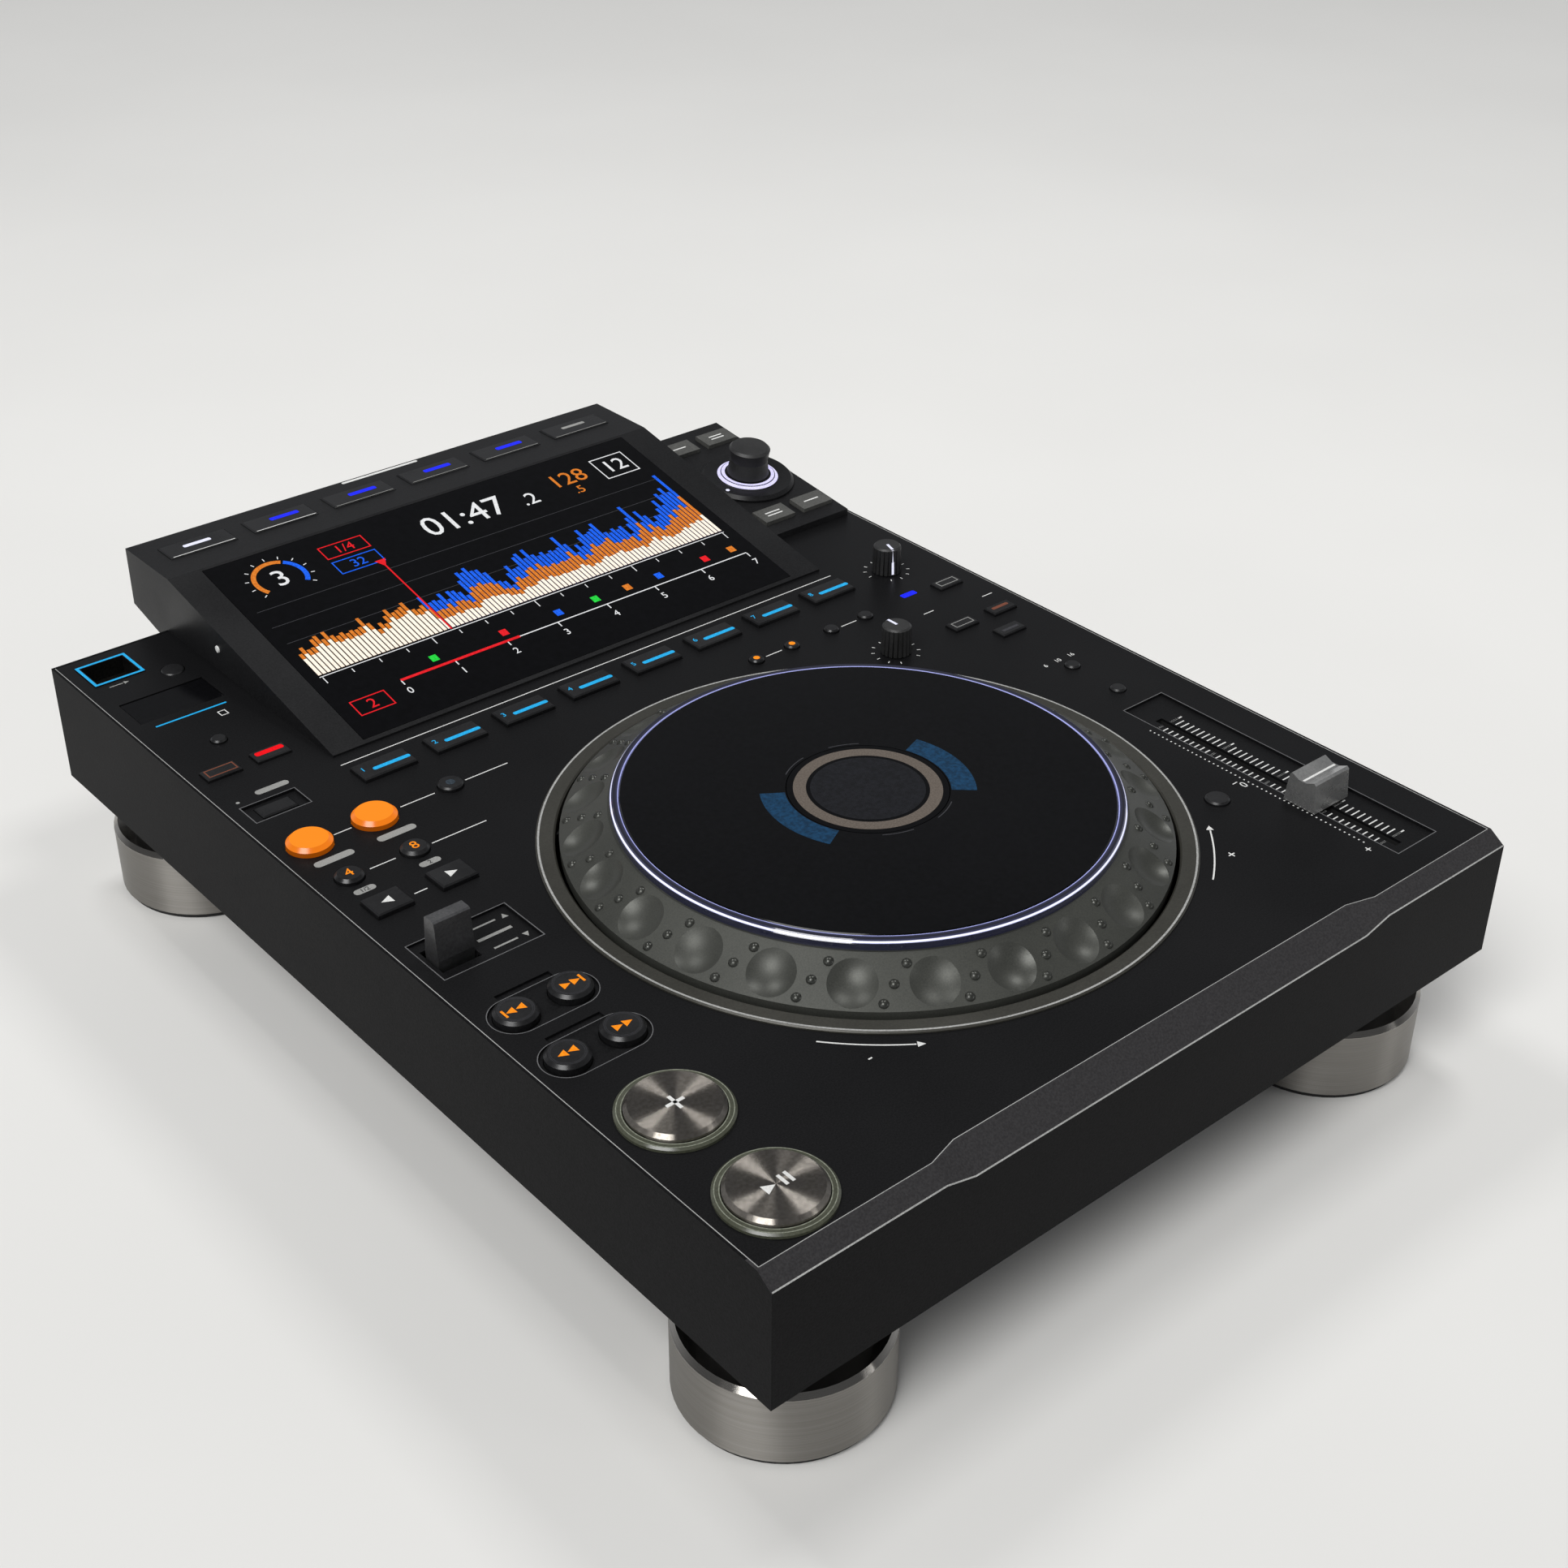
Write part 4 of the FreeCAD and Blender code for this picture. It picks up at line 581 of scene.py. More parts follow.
def case_finish():
    """Textured ABS case whose front bevel gets a painted sheen: a paler charcoal tone on the faces that slope
    up to the front, told apart by the way the face points.
    """
    made = FINISH["textured_abs"].copy()
    made.name = "case_abs_with_bevel_sheen"
    FINISH["case_abs_with_bevel_sheen"] = made
    tree = made.node_tree
    shader = tree.nodes["Principled BSDF"]
    base = shader.inputs["Base Color"].links[0].from_socket
    place = add(tree, "ShaderNodeTexCoord").outputs["Object"]
    depth = add(tree, "ShaderNodeSeparateXYZ", links={"Vector": place}).outputs["Y"]
    normal = add(tree, "ShaderNodeNewGeometry").outputs["True Normal"]
    facing = add(tree, "ShaderNodeSeparateXYZ", links={"Vector": normal}).outputs["Z"]
    front = add(tree, "ShaderNodeMath", {"operation": "LESS_THAN", 1: -0.2155}, {0: depth})
    sloped = add(tree, "ShaderNodeMath", {"operation": "GREATER_THAN", 1: 0.4}, {0: facing})
    both = add(tree, "ShaderNodeMath", {"operation": "MULTIPLY"}, {0: front, 1: sloped})
    fine = add(tree, "ShaderNodeTexNoise", {"Scale": 1 / (0.7 * MM), "Detail": 3.0}, {"Vector": place})
    # Painted sheen: the bevel's upward faces are drawn paler than the black case
    pale = tone(tree, fine, linear("#2d2c2d"), linear("#373637"))
    # Sockets 6 and 7 of the mix are its colours and output 2 is their blend
    mix = add(tree, "ShaderNodeMix", {"data_type": "RGBA"}, {0: both, 6: base, 7: pale})
    join(tree, shader, {"Base Color": mix.outputs[2]})


class PLAYER_OT_finishes(bpy.types.Operator):
    """Make the finishes that all the pieces share"""
    bl_idname = "player.finishes"
    bl_label = "Finishes"

    def execute(self, context):
        make_finishes()
        return {"FINISHED"}


class PLAYER_OT_case(bpy.types.Operator):
    """Finish the case, the control panel and the tray, and paint highlight lines along their edges"""
    bl_idname = "player.case"
    bl_label = "Case and panel"

    def execute(self, context):
        for ink, *nodes in (
                ("case_abs_with_bevel_sheen", "upper_case"), ("anodised_sheet", "control_panel"),
                ("housing_abs", "display_housing"), ("black_steel", "bottom_tray", "power_supply"),
                ("laminate", "circuit_boards"), ("key_abs", "jog_bearing")):
            paint(ink, *nodes)
        low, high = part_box("upper_case")
        wall, front = high.x / MM, low.y / MM
        side, rear, near = wall - 1.2, high.y / MM - 1.2, front + BEVEL_END[0]
        edge = [(x, front + sizes[0]) for x, sizes in ((-side, BEVEL_END), *BEVEL_BENDS, (side, BEVEL_END))]
        # Painted highlights: pale strips along the panel's front edge and its two sides
        edge_highlight_strips = [bar(*one, *two, 0.26) for one, two in zip(edge, edge[1:])]
        edge_highlight_strips += [block(way * (side + 0.1), (near + rear) / 2, 0.28, rear - near) for way in (-1, 1)]
        printed("panel_edge_highlights", edge_highlight_strips, "edge_highlight_paint")

        # Painted highlight: a pale band along the lower edge of the front bevel
        def lower_edge(work):
            rings = []
            for x, (_, fall, depth) in ((0.3 - wall, BEVEL_END), *BEVEL_BENDS, (wall - 0.3, BEVEL_END)):
                down, back = fall / math.hypot(fall, depth), depth / math.hypot(fall, depth)
                rings.append([Vector((x, max(front + back * along - down * over, front + 0.001),
                                      DECK - fall + down * along + back * over)) * MM
                              for along, over in ((0.02, 0.02), (0.5, 0.02), (0.5, 0.05), (0.05, 0.05))])
            loft(work, rings)
        piece("bevel_edge_highlight", lower_edge, "edge_highlight_paint")
        return {"FINISHED"}


class PLAYER_OT_feet(bpy.types.Operator):
    """Finish the four turned feet and their pads"""
    bl_idname = "player.feet"
    bl_label = "Feet"

    def execute(self, context):
        paint("brushed_foot", "foot_shells")
        paint("rubber", "foot_pads")
        return {"FINISHED"}


class PLAYER_OT_jog(bpy.types.Operator):
    """Finish the jog wheel and add the domes between its dimples and its centre display"""
    bl_idname = "player.jog"
    bl_label = "Jog wheel"

    def execute(self, context):
        for ink, node in (("satin_grey", "jog_surround"), ("grip_paint", "jog_grip_ring"),
                          ("clear_ring", "jog_light_ring"), ("gloss_acrylic", "jog_plate"),
                          ("display_glass", "jog_display"), ("key_abs", "jog_carrier")):
            paint(ink, node)
        domes = ((90.9, 10.9, 10.15), (96.5, 7.37, 7.5), (101.9, 3.96, 5.5))
        for number, (radius, height, turn) in enumerate(domes, 1):
            repeat("grip_domes_%d" % number, dome_ring_tree("dome_paint"), {
                "Count": 24, "Ring radius": radius * MM, "Height": (DECK + height - DOME_SINK) * MM,
                "Dome radius": context.scene.player_sizes.dome_radius,
                "Turn": math.radians(turn)}, "jog_wheel")
        top, face, plate = [centre(node)[2] for node in ("jog_surround", "jog_display", "jog_plate")]

        # Painted highlight: a pale line round the outer rim of the jog surround
        def rim(work):
            turned(work, [(111.5, top), (112.2, top), (112.2, top + 0.06), (111.5, top + 0.06)],
                   JOG_X, JOG_Y, 0, 160, closed=True)
        piece("surround_rim_highlight", rim, "edge_highlight_paint")
        printed("centre_ring", hoop(JOG_X, JOG_Y, 23.2, 4.4, 4, 32), "taupe_lit", low=face)
        printed("centre_disc", [disc(JOG_X, JOG_Y, 19.6, 72)], "dim_disc", low=face)
        sectors = [arc(JOG_X, JOG_Y, 32.6, 8.6, start, start + 62) for start in (-42, 146)]
        printed("centre_sectors", sectors, "sector_blue", low=plate, body="jog_wheel")
        fine = [arc(JOG_X, JOG_Y, 29.0, 0.35, start, stop, 12)
                for start, stop in ((54, 76), (98, 123), (-123, -101), (-79, -57))]
        printed("centre_arcs", fine, "dim_line", low=plate, body="jog_wheel")
        return {"FINISHED"}


class PLAYER_OT_screen(bpy.types.Operator):
    """Light the screen with plain level columns, a dial, a scale and numbers"""
    bl_idname = "player.screen"
    bl_label = "Screen"

    def execute(self, context):
        sizes = context.scene.player_sizes
        paint("display_glass", "display_glass")
        paint("nickel", "lcd_module")
        whole = sizes.columns
        played = round(whole * 0.3)
        pitch = 2 * SCREEN_SIDE / (whole - 1)
        for name, ink, first, count, most, lift in (
                ("columns_gold", "wave_orange", 0, played, 46.0, 0.03),
                ("columns_pale", "wave_cream", 0, played, 34.0, 0.06),
                ("columns_blue", "wave_blue", played, whole - played, 62.0, 0.03),
                ("columns_orange", "wave_orange", played, whole - played, 38.0, 0.06),
                ("columns_cream", "wave_cream", played, whole - played, 17.0, 0.09)):
            length = (count - 1) * pitch
            middle = -SCREEN_SIDE + first * pitch + length / 2
            row(name, ink, SCREEN @ spot(middle, -19.0, lift), count, length, pitch * 0.74, 2.0, most, 0.03,
                float(sizes.seed), 0.5)
        ticks = ([block(-96 + 12 * n, -22.6, 0.4, 2.2 if n % 4 else 3.8) for n in range(17)]
                 + [block(-72 + 24 * n, -38.0, 0.5, 2.6) for n in range(8)])
        for name, outlines, ink, lift in (
                ("screen_lines", [block(0, -20.2, 194, 0.4), block(12, -36.4, 168, 0.5)], "screen_white",
                 0.02),
                ("screen_ticks", ticks, "screen_white", 0.02),
                ("screen_levels", [block(0, y, 194, 0.25) for y in (-8, 3, 14, 25)], "dim_line", 0.005),
                ("screen_pointer", [block(-38.2, 4, 0.7, 47), wedge(-38.2, 29.6, 4.4, 270)], "screen_red",
                 0.12),
                ("screen_played", [block(-45, -36.4, 54, 1.3)], "screen_red", 0.05),
                ("dial_orange", [arc(-78, 40, 10.4, 2.0, 60, 215)], "wave_orange", 0.02),
                ("dial_blue", [arc(-78, 40, 10.4, 2.0, -35, 55)], "wave_blue", 0.02),
                ("dial_ticks", [tick(-78, 40, 12.4, 14.0, -35 + 25 * n, 0.4) for n in range(11)],
                 "screen_white", 0.02),
                ("screen_boxes", box_outline(86, 42, 17, 15, 0.5), "screen_white", 0.02),
                ("screen_red_boxes", box_outline(-46, 45.6, 20, 8.6, 0.5)
                 + box_outline(-88, -42.4, 15, 9, 0.5), "screen_red", 0.02),
                ("screen_blue_box", box_outline(-46, 34.8, 20, 8.6, 0.5), "wave_blue", 0.02)):
            printed(name, outlines, ink, SCREEN, lift)
        for ink, *spots in (("screen_green", -54, 22), ("screen_red", -22, 78), ("wave_blue", 4, 54),
                            ("wave_orange", 38, 92)):
            printed("screen_points_" + ink, [block(x, -31.4, 3.2, 3.6) for x in spots], ink, SCREEN, 0.02)
        for name, ink, figures in (
                ("screen_numbers", "screen_white", [("01:47", 8, 40.4, 13.0), (".2", 39, 38.0, 8.0),
                                                    ("3", -78, 39.6, 10.0), ("12", 86, 41.8, 8.4)]
                 + [(str(n), -72 + 24 * n, -43.2, 3.6) for n in range(8)]),
                ("screen_red_numbers", "screen_red", [("1/4", -46, 45.4, 5.0), ("2", -88, -42.6, 5.4)]),
                ("screen_orange_numbers", "wave_orange", [("128", 62, 43.0, 9.0), (".5", 62, 34.0, 5.0)]),
                ("screen_blue_numbers", "wave_blue", [("32", -46, 34.6, 5.0)])):
            numerals(name, [(text, x, y, 0.04, height) for text, x, y, height in figures], ink, place=SCREEN)
        return {"FINISHED"}


class PLAYER_OT_keys(bpy.types.Operator):
    """Finish the keys and small buttons and light their marks"""
    bl_idname = "player.keys"
    bl_label = "Keys and buttons"

    def execute(self, context):
        for number in range(1, 9):
            key, body = "hot_cue_key_%d" % number, "hot_cue_%d" % number
            paint("key_abs", key)
            mark(key, "hot_cue_bar_%d" % number, [soft_block(2.6, -1.0, 15.2, 1.9, 0.8)], "cyan_lit", body)
            numerals("hot_cue_number_%d" % number, [(str(number), -8.2, 0.6, FIGURE, 2.6)], "cyan_lit", body,
                     spot(*centre(key)))
        paint("amber_cap", "loop_in_button", "loop_out_button")
        paint("key_abs", "reloop_button", "four_beat_button", "eight_beat_button", "track_back_button",
              "track_forward_button", "search_back_button", "search_forward_button", "usb_stop_button",
              "time_mode_button", "memory_buttons", "function_keys", "slip_key", "beat_jump_back_key",
              "beat_jump_forward_key", "menu_keys", "power_button", "quantize_key")
        mark("quantize_key", "quantize_light", [soft_block(0, 0.8, 11.2, 2.6, 0.9)], "red_lit", "quantize")
        mark("reloop_button", "reloop_lens", [disc(0, 0, 1.7, 24)], "lens_grey", "reloop")
        for body, text in (("four_beat", "4"), ("eight_beat", "8")):
            numerals(body + "_number", [(text, 0, 0, FIGURE, 4.4)], "orange_sign", body,
                     spot(*centre(body + "_button")))
        for body, turn in (("beat_jump_back", 180), ("beat_jump_forward", 0)):
            mark(body + "_key", body + "_sign", [wedge(0, 0, 3.6, turn)], "white_ink", body)
        mark("slip_key", "slip_frame", box_outline(0, 0, 11.4, 5.0, 0.5), "rust_dim", "slip")
        for body, way in (("track_back", -1), ("track_forward", 1), ("search_back", -1),
                          ("search_forward", 1)):
            node, turn = body + "_button", 90 - 90 * way
            signs = [wedge(-way * 1.9, 0, 2.9, turn), wedge(way * 1.7, 0, 2.9, turn)]
            if body.startswith("track"):
                signs.append(block(way * 4.1, 0, 0.8, 3.9))
            mark(node, body + "_sign", signs, "orange_sign", body)
            mark(node, body + "_rings", hoop(0, 0, 5.2, 0.12, 3, 24) + hoop(0, 0, 5.7, 0.12, 3, 24),
                 "dim_line", body)
        # Distance between the keys above the screen, and the y of their lines
        pitch, line = 36.8, 205.9
        for node, height, items in (
                ("function_row", DECK + 1.3, (
                    ("mode_key_line", box_outline(148.2, 31.0, 9.6, 3.8, 0.35)
                     + box_outline(128.2, 1.4, 9.6, 3.8, 0.35), "grey_ink"),
                    ("master_key_light", [soft_block(149.6, 1.8, 8.6, 1.6, 0.5)], "rust_dim"),
                    ("sync_key_light", [soft_block(139.6, -14.0, 8.6, 1.4, 0.5)], "dim_line"))),
                ("memory_row", centre("memory_buttons")[2], (
                    ("memory_lights", [disc(x, 31.4, 1.3, 20) for x in (46.6, 64.6)], "orange_sign"),)),
                ("menu_row", centre("menu_keys")[2], (
                    ("menu_lights", [soft_block(pitch * (n - 2.5) + 2.4, 212.2, 13.0, 2.6, 0.8)
                                     for n in range(1, 5)], "blue_lit"),
                    ("menu_light_white", [soft_block(-92, 212.2, 12, 2.2, 0.7)], "white_lit"),
                    ("menu_lines", [block(pitch * (n - 2.5), line, 27, 0.45) for n in (0, 1)], "white_ink"),
                    ("menu_lines_dim", [block(pitch * (n - 2.5), line, 27, 0.35) for n in range(2, 6)],
                     "grey_ink"),
                    ("menu_light_dim", [soft_block(92, 212.2, 12, 2.0, 0.7)], "grey_ink")))):
            for name, outlines, ink in items:
                printed(name, outlines, ink, low=height, body=node)
        return {"FINISHED"}


class PLAYER_OT_transport(bpy.types.Operator):
    """Finish the play and cue buttons with their rings and signs"""
    bl_idname = "player.transport"
    bl_label = "Play and cue"

    def execute(self, context):
        # Finish the play and cue buttons with their rings and signs, and paint highlight lines along the ring
        # edges
        paint("milky_ring", "button_rings")
        paint("spun_metal", "play_button", "cue_button")
        # Painted highlights: faint glowing lines along the inner and outer edges of the rings
        lines = []
        for node in ("play_button", "cue_button"):
            x, y = centre(node)[:2]
            lines += hoop(x, y, 15.6, 0.3, 4, 16) + hoop(x, y, 17.0, 0.3, 4, 16)
        printed("ring_edge_highlight_lines", lines, "painted_ring_edge_highlight", low=centre("button_rings")[2])
        signs = [wedge(-2.6, -0.2, 3.6, 0), block(2.4, 0, 1.1, 4.6), block(4.7, 0, 1.1, 4.6)]
        mark("play_button", "play_sign", signs, "white_ink", "play")
        mark("cue_button", "cue_sign", [block(0, 0, 1.2, 6.4), block(0, 0, 6.4, 1.2)], "white_ink", "cue")
        return {"FINISHED"}


class PLAYER_OT_fader(bpy.types.Operator):
    """Finish the tempo fader, the lever and the two knobs, with their scales"""
    bl_idname = "player.fader"
    bl_label = "Fader, lever and knobs"

    def execute(self, context):
        for ink, node in (("rubber", "fader_unit"), ("cap_gloss", "tempo_fader_cap"),
                          ("dark_metal", "direction_lever"), ("knob_rubber", "vinyl_speed_knob"),
                          ("knob_rubber", "jog_adjust_knob")):
            paint(ink, node)
        mark("tempo_fader_cap", "fader_cap_line", [block(0, 0, 17.2, 0.9)], "white_ink", "tempo_fader", 1.5)
        floor = DECK - 1.0
        ladder = spot(133.6, -151.0, floor, 90)
        for side, way in (("left", -1), ("right", 1)):
            for name, away, count, wide, long in (("fader_ticks_", 4.4, 41, 0.5, 4.6),
                                                  ("fader_long_ticks_", 5.2, 5, 0.6, 6.2)):
                row(name + side, "white_ink", ladder @ spot(0, way * away, 0.02), count, 100.0, wide, long,
                    long)
        row("fader_dots", "white_ink", spot(123.9, -149.5, DECK + 0.02, 90), 49, 96.0, 0.55, 0.55, 0.55)
        numerals("fader_zero", [("0", 121.2, -147.7, DECK + FIGURE, 3.4),
                                ("+", 121.6, -201.4, DECK + FIGURE, 3.6)], "white_ink")
        printed("fader_zero_line", [block(119.6, -144.9, 2.41, 0.4)], "white_ink")
        printed("lever_marks", [block(-131.5, -44.6, 9.0, 0.8), block(-131.5, -51.0, 13.0, 1.4),
                                block(-131.5, -57.4, 9.0, 0.8), wedge(-123.6, -44.6, 2.2, 90),
                                wedge(-123.6, -57.4, 2.2, 270)], "grey_ink", low=floor)
        for body in ("vinyl_speed", "jog_adjust"):
            x, y, top = centre(body + "_knob")
            way = POINTER_ANGLES[body]
            mark(body + "_knob", body + "_pointer", [bar(0, 0, *polar(0, 0, 5.1, way), 1.1)], "white_lit",
                 body)

            def streak(work, x=x, y=y, top=top, way=way):
                """The pointer's line down the knob's side."""
                out = Vector((*polar(0, 0, 1, way), 0))
                across = Vector((-out.y, out.x, 0))
                loft(work, [[(Vector((x, y, height)) + out * (reach + skin) + across * side) * MM
                             for side, skin in ((-0.5, 0.0), (-0.5, 0.12), (0.5, 0.12), (0.5, 0.0))]
                            for reach, height in ((5.35, top - 0.35), (6.24, top - 11.0))])
            piece(body + "_streak", streak, "white_lit", body)
            printed(body + "_scale", [tick(x, y, 8.4, 9.8, FIRST_TICKS[body] + 30 * step, 0.35)
                                      for step in range(11)], "white_ink")
        return {"FINISHED"}


class PLAYER_OT_browse(bpy.types.Operator):
    """Finish the browse pod, its selector and its keys"""
    bl_idname = "player.browse"
    bl_label = "Browse pod"

    def execute(self, context):
        paint("housing_abs", "browse_pod")
        paint("grey_pc", "browse_keys")
        paint("knob_rubber", "rotary_selector")

        def collar(work):
            turned(work, [(10.2, 3.42), (11.6, 3.46), (13.4, 2.5), (12.0, 2.9)], 0, 0, 0, place=POD,
                   closed=True)
        piece("selector_light", collar, "collar_lit")
        printed("selector_dot", [disc(-16.2, -6.0, 0.9, 16)], "white_lit", POD, 2.42)
        signs = [block(x, y, wide, 0.7) for x, y, wide in (
            (-10.6, 35, 7), (10.6, 36, 7), (10.6, 34, 7), (-10.6, -29.6, 8), (-10.6, -31.6, 8),
            (10.6, -30.6, 8))]
        printed("browse_signs", signs, "white_ink", POD, 1.7, "browse_row")
        return {"FINISHED"}


class PLAYER_OT_media(bpy.types.Operator):
    """Finish the USB well and the card door"""
    bl_idname = "player.media"
    bl_label = "USB and card"

    def execute(self, context):
        paint("nickel_dark", "usb_socket")
        paint("rubber", "sd_slot")
        paint("gloss_acrylic", "sd_door")
        x, y, top = centre("usb_socket")
        low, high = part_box("usb_socket")
        wide, deep = (high.x - low.x) / MM, (high.y - low.y) / MM
        printed("usb_frame_light", box_outline(x, y, wide - 0.3, deep - 0.3, 1.1), "cyan_lit", low=top)
        printed("usb_sign", [block(x - 3.4, 171.0, 5.4, 0.5), wedge(x + 0.6, 171.0, 1.8, 0)], "grey_ink")
        printed("card_line", [block(-140.0, 133.5, 28.6, 0.8)], "cyan_lit")
        printed("card_sign", box_outline(-130.4, 127.2, 3.2, 3.6, 0.4), "white_ink")
        return {"FINISHED"}


class PLAYER_OT_prints(bpy.types.Operator):
    """Print the lines, dots and dials of the control panel, and paint highlight lines round its recesses"""
    bl_idname = "player.prints"
    bl_label = "Printed marks"

    def execute(self, context):
        lines = [block(x, y, wide, 0.45) for x, y, wide in (
            (0, 67.2, 233), (-138.3, 30, 7.0), (-108, 30.4, 14), (-79, 30.8, 18), (-138.2, 4.6, 10),
            (-108, 4.4, 22), (55.6, 31.6, 8.0), (125.4, 17.8, 5.4), (154.4, 13.8, 5.4), (94.3, 31.2, 8.0),
            (-137.2, -17, 5.0))]
        printed("panel_lines", lines, "white_ink")
        # Painted highlights: grey lines round the recesses and round the track and search pairs
        rims = []
        for x, y, width, depth in RECESSES:
            rims += box_outline(x, y, width + 0.9, depth + 0.9, 0.35)
        left, right = centre("track_back_button")[0], centre("track_forward_button")[0]
        for node in ("track_back_button", "search_back_button"):
            y = centre(node)[1]
            rims += [arc(left, y, SEARCH_REACH, 0.3, 90, 270), arc(right, y, SEARCH_REACH, 0.3, -90, 90)]
            rims += [block((left + right) / 2, y + way * SEARCH_REACH, right - left, 0.3) for way in (1, -1)]
        printed("recess_rim_highlights", rims, "painted_rim_highlight")
        arcs = [arc(JOG_X, JOG_Y, ARROW_RADIUS, 0.55, start, stop, 30)
                for start, stop in ((-139.7, -125.1), (-55.2, -40.6))]
        tips = [wedge(*polar(JOG_X, JOG_Y, ARROW_RADIUS, angle), 2.4, turn)
                for angle, turn in ((-124.4, -34.4), (-39.9, 50.1))]
        printed("direction_arcs", arcs + tips, "white_ink")
        signs = [(text, *polar(JOG_X, JOG_Y, 123.6, angle), DECK + FIGURE, 4.2)
                 for angle, text in ((-132, "-"), (-47.5, "+"))]
        signs += [(text, x, -43.0, DECK + FIGURE, 2.2)
                  for text, x in (("6", 129.6), ("10", 136.4), ("16", 143.6))]
        numerals("direction_signs", signs, "white_ink")
        pills = [soft_block(*pill) for pill in (
            (-149, 17.6, 15, 3.4, 1.6), (-124.6, 17.6, 15, 3.4, 1.6), (-150.8, -4.6, 8, 3.0, 1.4),
            (-125.6, -4.6, 8, 3.0, 1.4), (-142.6, 70.1, 13, 3.0, 1.4))]
        printed("panel_pills", pills + [disc(-156.8, 68.6, 0.7, 14)], "grey_ink")
        printed("mode_light", [soft_block(130.0, 34.5, 7.6, 3.0, 0.8)], "blue_lit")
        numerals("panel_numbers", [("1/2", -150.8, -4.6, DECK + 0.06, 2.0),
                                   ("2", -125.6, -4.6, DECK + 0.06, 2.0)], "key_abs")
        side = spot(0.05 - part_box("display_housing")[1].x / MM, 155.6, 102, -90, "Y")

        def lamp(work):
            turned(work, [(0.0001, 0.0), (1.5, 0.0), (1.3, 0.5), (0.0001, 0.7)], 0, 0, 0, 24, side)
        piece("side_lamp", lamp, "white_ink")
        printed("rear_bar_light", [soft_block(0.4, 224.9, 37, 1.6, 0.7)], "white_ink",
                low=centre("display_housing")[2])
        return {"FINISHED"}


class PLAYER_OT_rear(bpy.types.Operator):
    """Finish the sockets of the rear face and add the screws under the tray"""
    bl_idname = "player.rear"
    bl_label = "Rear and underside"

    def execute(self, context):
        paint("nickel", "signal_sockets")
        paint("key_abs", "mains_inlet")

        def screws(work):
            profile = [(0.0001, 0.0), (3.0, 0.0), (3.4, -0.3), (2.6, -1.3), (1.2, -1.5), (1.2, -0.7),
                       (0.0001, -0.7)]
            for x in (-150, -50, 50, 150):
                for y in (-110, 40, 190):
                    turned(work, profile, x, y, TRAY_FACE, 20)
        piece("tray_screws", screws, "nickel_dark")
        return {"FINISHED"}


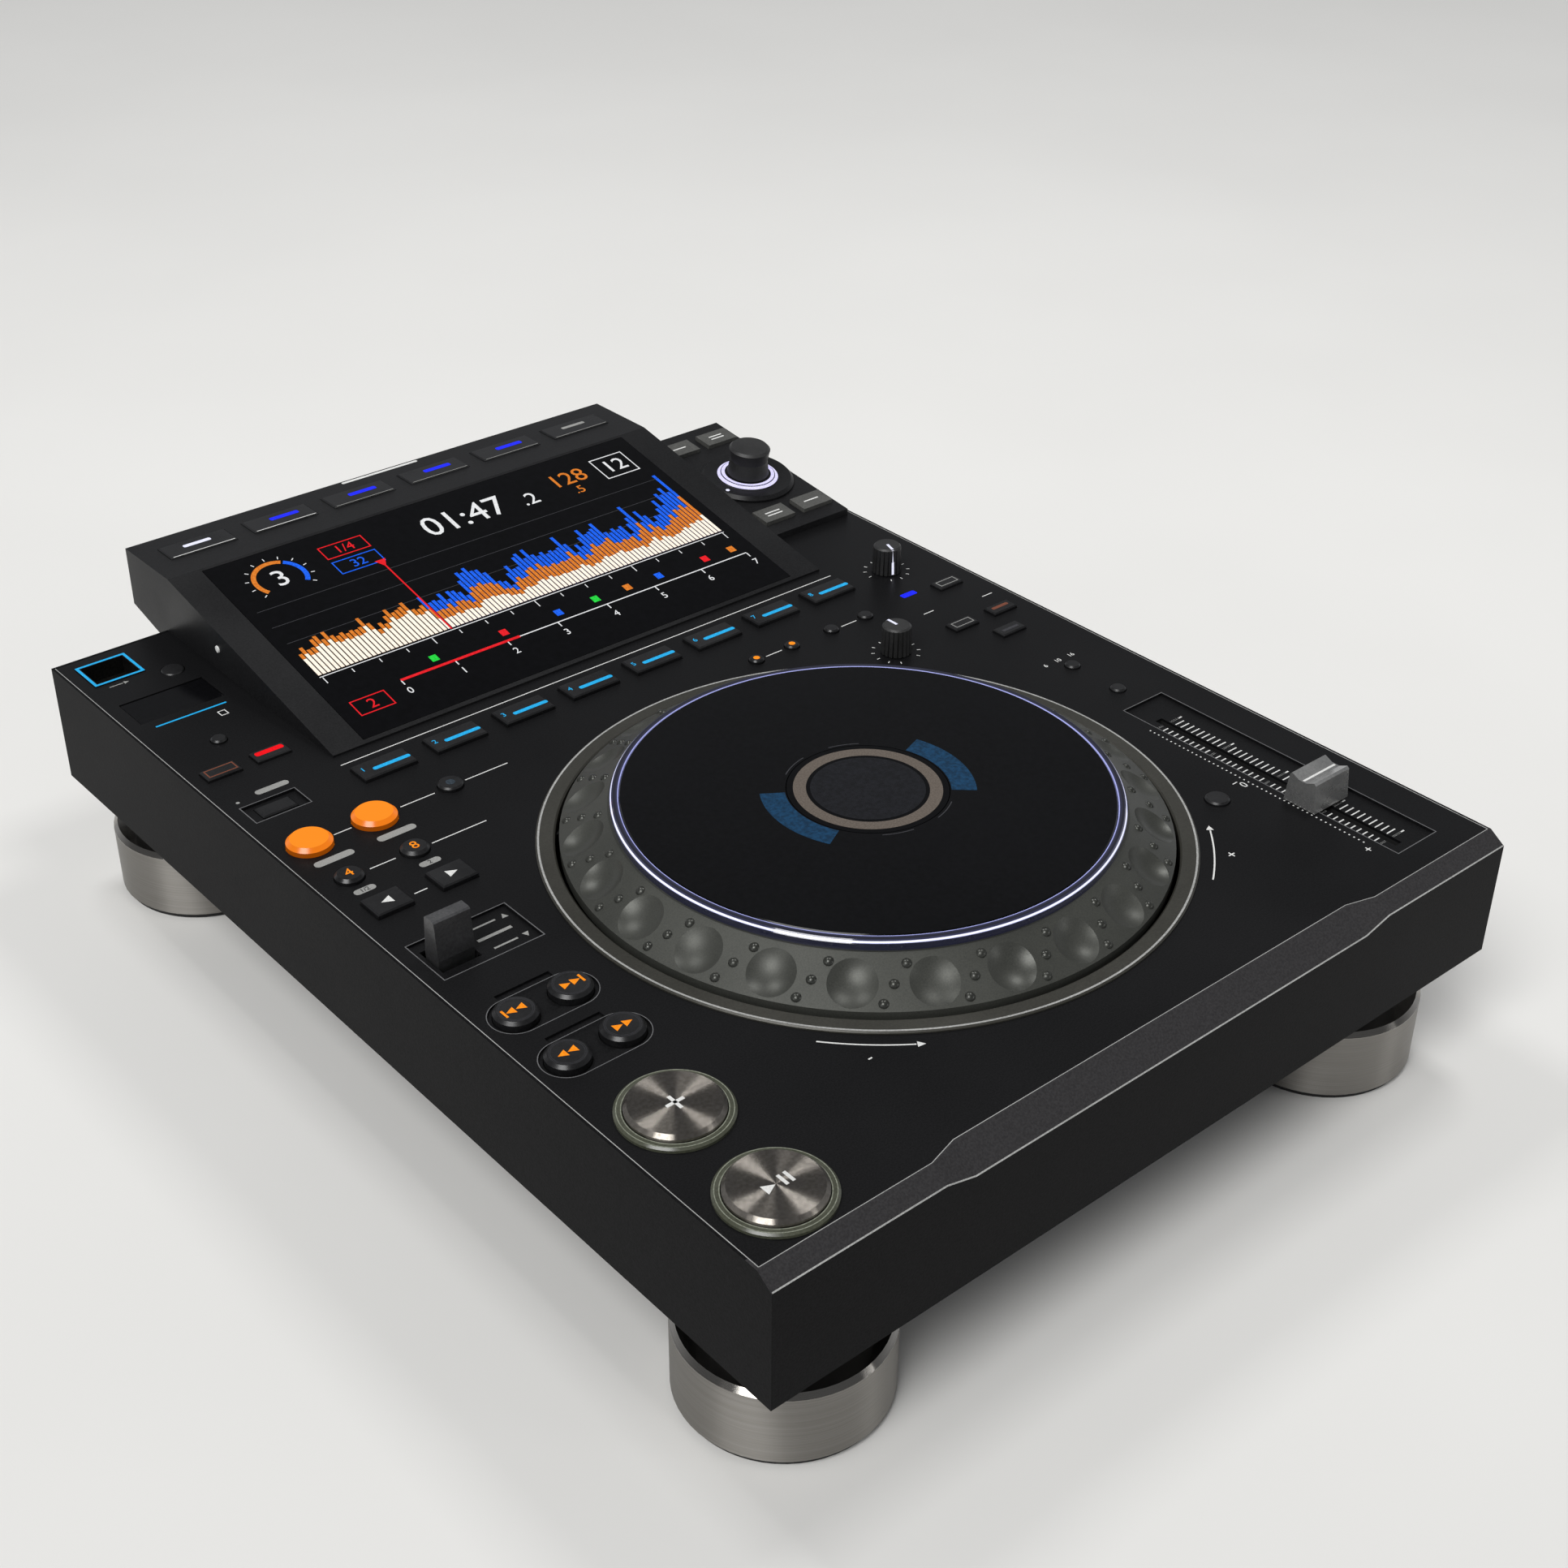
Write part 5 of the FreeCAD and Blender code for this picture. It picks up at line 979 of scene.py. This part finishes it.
class PLAYER_OT_studio(bpy.types.Operator):
    """Set the floor, the soft lights and the camera"""
    bl_idname = "player.studio"
    bl_label = "Studio"

    def execute(self, context):
        scene = context.scene
        studio = scene.player_studio
        # Pale matt paint, with broad, barely seen clouds
        tree, shader, place = new_material("studio_floor", Roughness=0.6)
        cloud = add(tree, "ShaderNodeTexNoise", {"Scale": 3.0, "Detail": 3.0}, {"Vector": place})
        join(tree, shader, {"Base Color": tone(tree, cloud, linear("#d9d8d5"), linear(studio.floor))})

        def floor(work):
            corners = ((-6, -6, 0), (6, -6, 0), (6, 6, 0), (-6, 6, 0))
            work.faces.new([work.verts.new(corner) for corner in corners])
        piece("studio_floor", floor, "studio_floor", None)
        world = bpy.data.worlds.new("studio_world")
        scene.world = world
        world.use_nodes = True
        # Pale at the horizon and dim overhead, so that the black panel stays black
        sky = world.node_tree
        back = sky.nodes["Background"]
        back.inputs["Color"].default_value = linear("#e4e6ea")
        way = add(sky, "ShaderNodeTexCoord").outputs["Generated"]
        height = add(sky, "ShaderNodeSeparateXYZ", links={"Vector": way}).outputs["Z"]
        fade = add(sky, "ShaderNodeMapRange", {"From Min": 0.1, "From Max": 0.42, "To Min": 0.8,
                                               "To Max": studio.sky}, {"Value": height})
        join(sky, back, {"Strength": fade})
        sun = bpy.data.lights.new("key_light", "SUN")
        sun.angle = math.radians(32)
        sun.energy = studio.key
        lamps = [(sun, (-0.9, -0.35, 1.3))]
        for name, where, size, power in (
                ("near_panel", (-0.11, 0.62, 1.36), 0.3, 5), ("far_panel", (0.63, 0.02, 1.36), 0.3, 5),
                ("left_panel", (-2.3, -0.2, 0.8), 0.5, 4), ("right_panel", (1.4, -2.1, 0.8), 0.5, 4)):
            data = bpy.data.lights.new(name, "AREA")
            data.shape = "SQUARE"
            data.size = size
            data.energy = power
            lamps.append((data, where))
        for data, where in lamps:
            lamp = bpy.data.objects.new(data.name, data)
            scene.collection.objects.link(lamp)
            lamp.location = where
            lamp.rotation_euler = (Vector((0, 0, 0.08)) - Vector(where)).to_track_quat("-Z", "Y").to_euler()
        data = bpy.data.cameras.new("view")
        data.sensor_width = 36.0
        data.lens = studio.lens
        data.clip_start = 0.01
        camera = bpy.data.objects.new("view", data)
        scene.collection.objects.link(camera)
        # Where the photograph was taken from: the place, then turns about Z, X and Z
        camera.matrix_world = (spot(-441.84, -549.75, 514.49, -40.88) @ spot(0, 0, 0, 57.79, "X")
                               @ spot(0, 0, 0, 0.57))
        scene.camera = camera
        scene.view_settings.view_transform = "Standard"
        return {"FINISHED"}


STEPS = (PLAYER_OT_finishes, PLAYER_OT_studio, PLAYER_OT_case, PLAYER_OT_feet, PLAYER_OT_jog,
         PLAYER_OT_screen, PLAYER_OT_keys, PLAYER_OT_transport, PLAYER_OT_fader, PLAYER_OT_browse,
         PLAYER_OT_media, PLAYER_OT_prints, PLAYER_OT_rear)


class PLAYER_PT_sidebar(bpy.types.Panel):
    """The player's operators and settings"""
    bl_label = "Media player"
    bl_idname = "PLAYER_PT_sidebar"
    bl_space_type = "VIEW_3D"
    bl_region_type = "UI"
    bl_category = "Player"

    def draw(self, context):
        for step in STEPS:
            self.layout.operator(step.bl_idname)
        for group in (context.scene.player_finishes, context.scene.player_sizes, context.scene.player_studio):
            for name in group.__annotations__:
                self.layout.prop(group, name)


GROUPS = (("player_finishes", PlayerFinishes), ("player_sizes", PlayerSizes),
          ("player_studio", StudioSettings))


def register():
    for name, group in GROUPS:
        bpy.utils.register_class(group)
        setattr(bpy.types.Scene, name, bpy.props.PointerProperty(type=group))
    for step in STEPS:
        bpy.utils.register_class(step)
    bpy.utils.register_class(PLAYER_PT_sidebar)


def unregister():
    bpy.utils.unregister_class(PLAYER_PT_sidebar)
    for step in reversed(STEPS):
        bpy.utils.unregister_class(step)
    for name, group in reversed(GROUPS):
        delattr(bpy.types.Scene, name)
        bpy.utils.unregister_class(group)


def main():
    register()
    for step in STEPS:
        family, name = step.bl_idname.split(".")
        getattr(getattr(bpy.ops, family), name)()


if __name__ == "__main__":
    main()
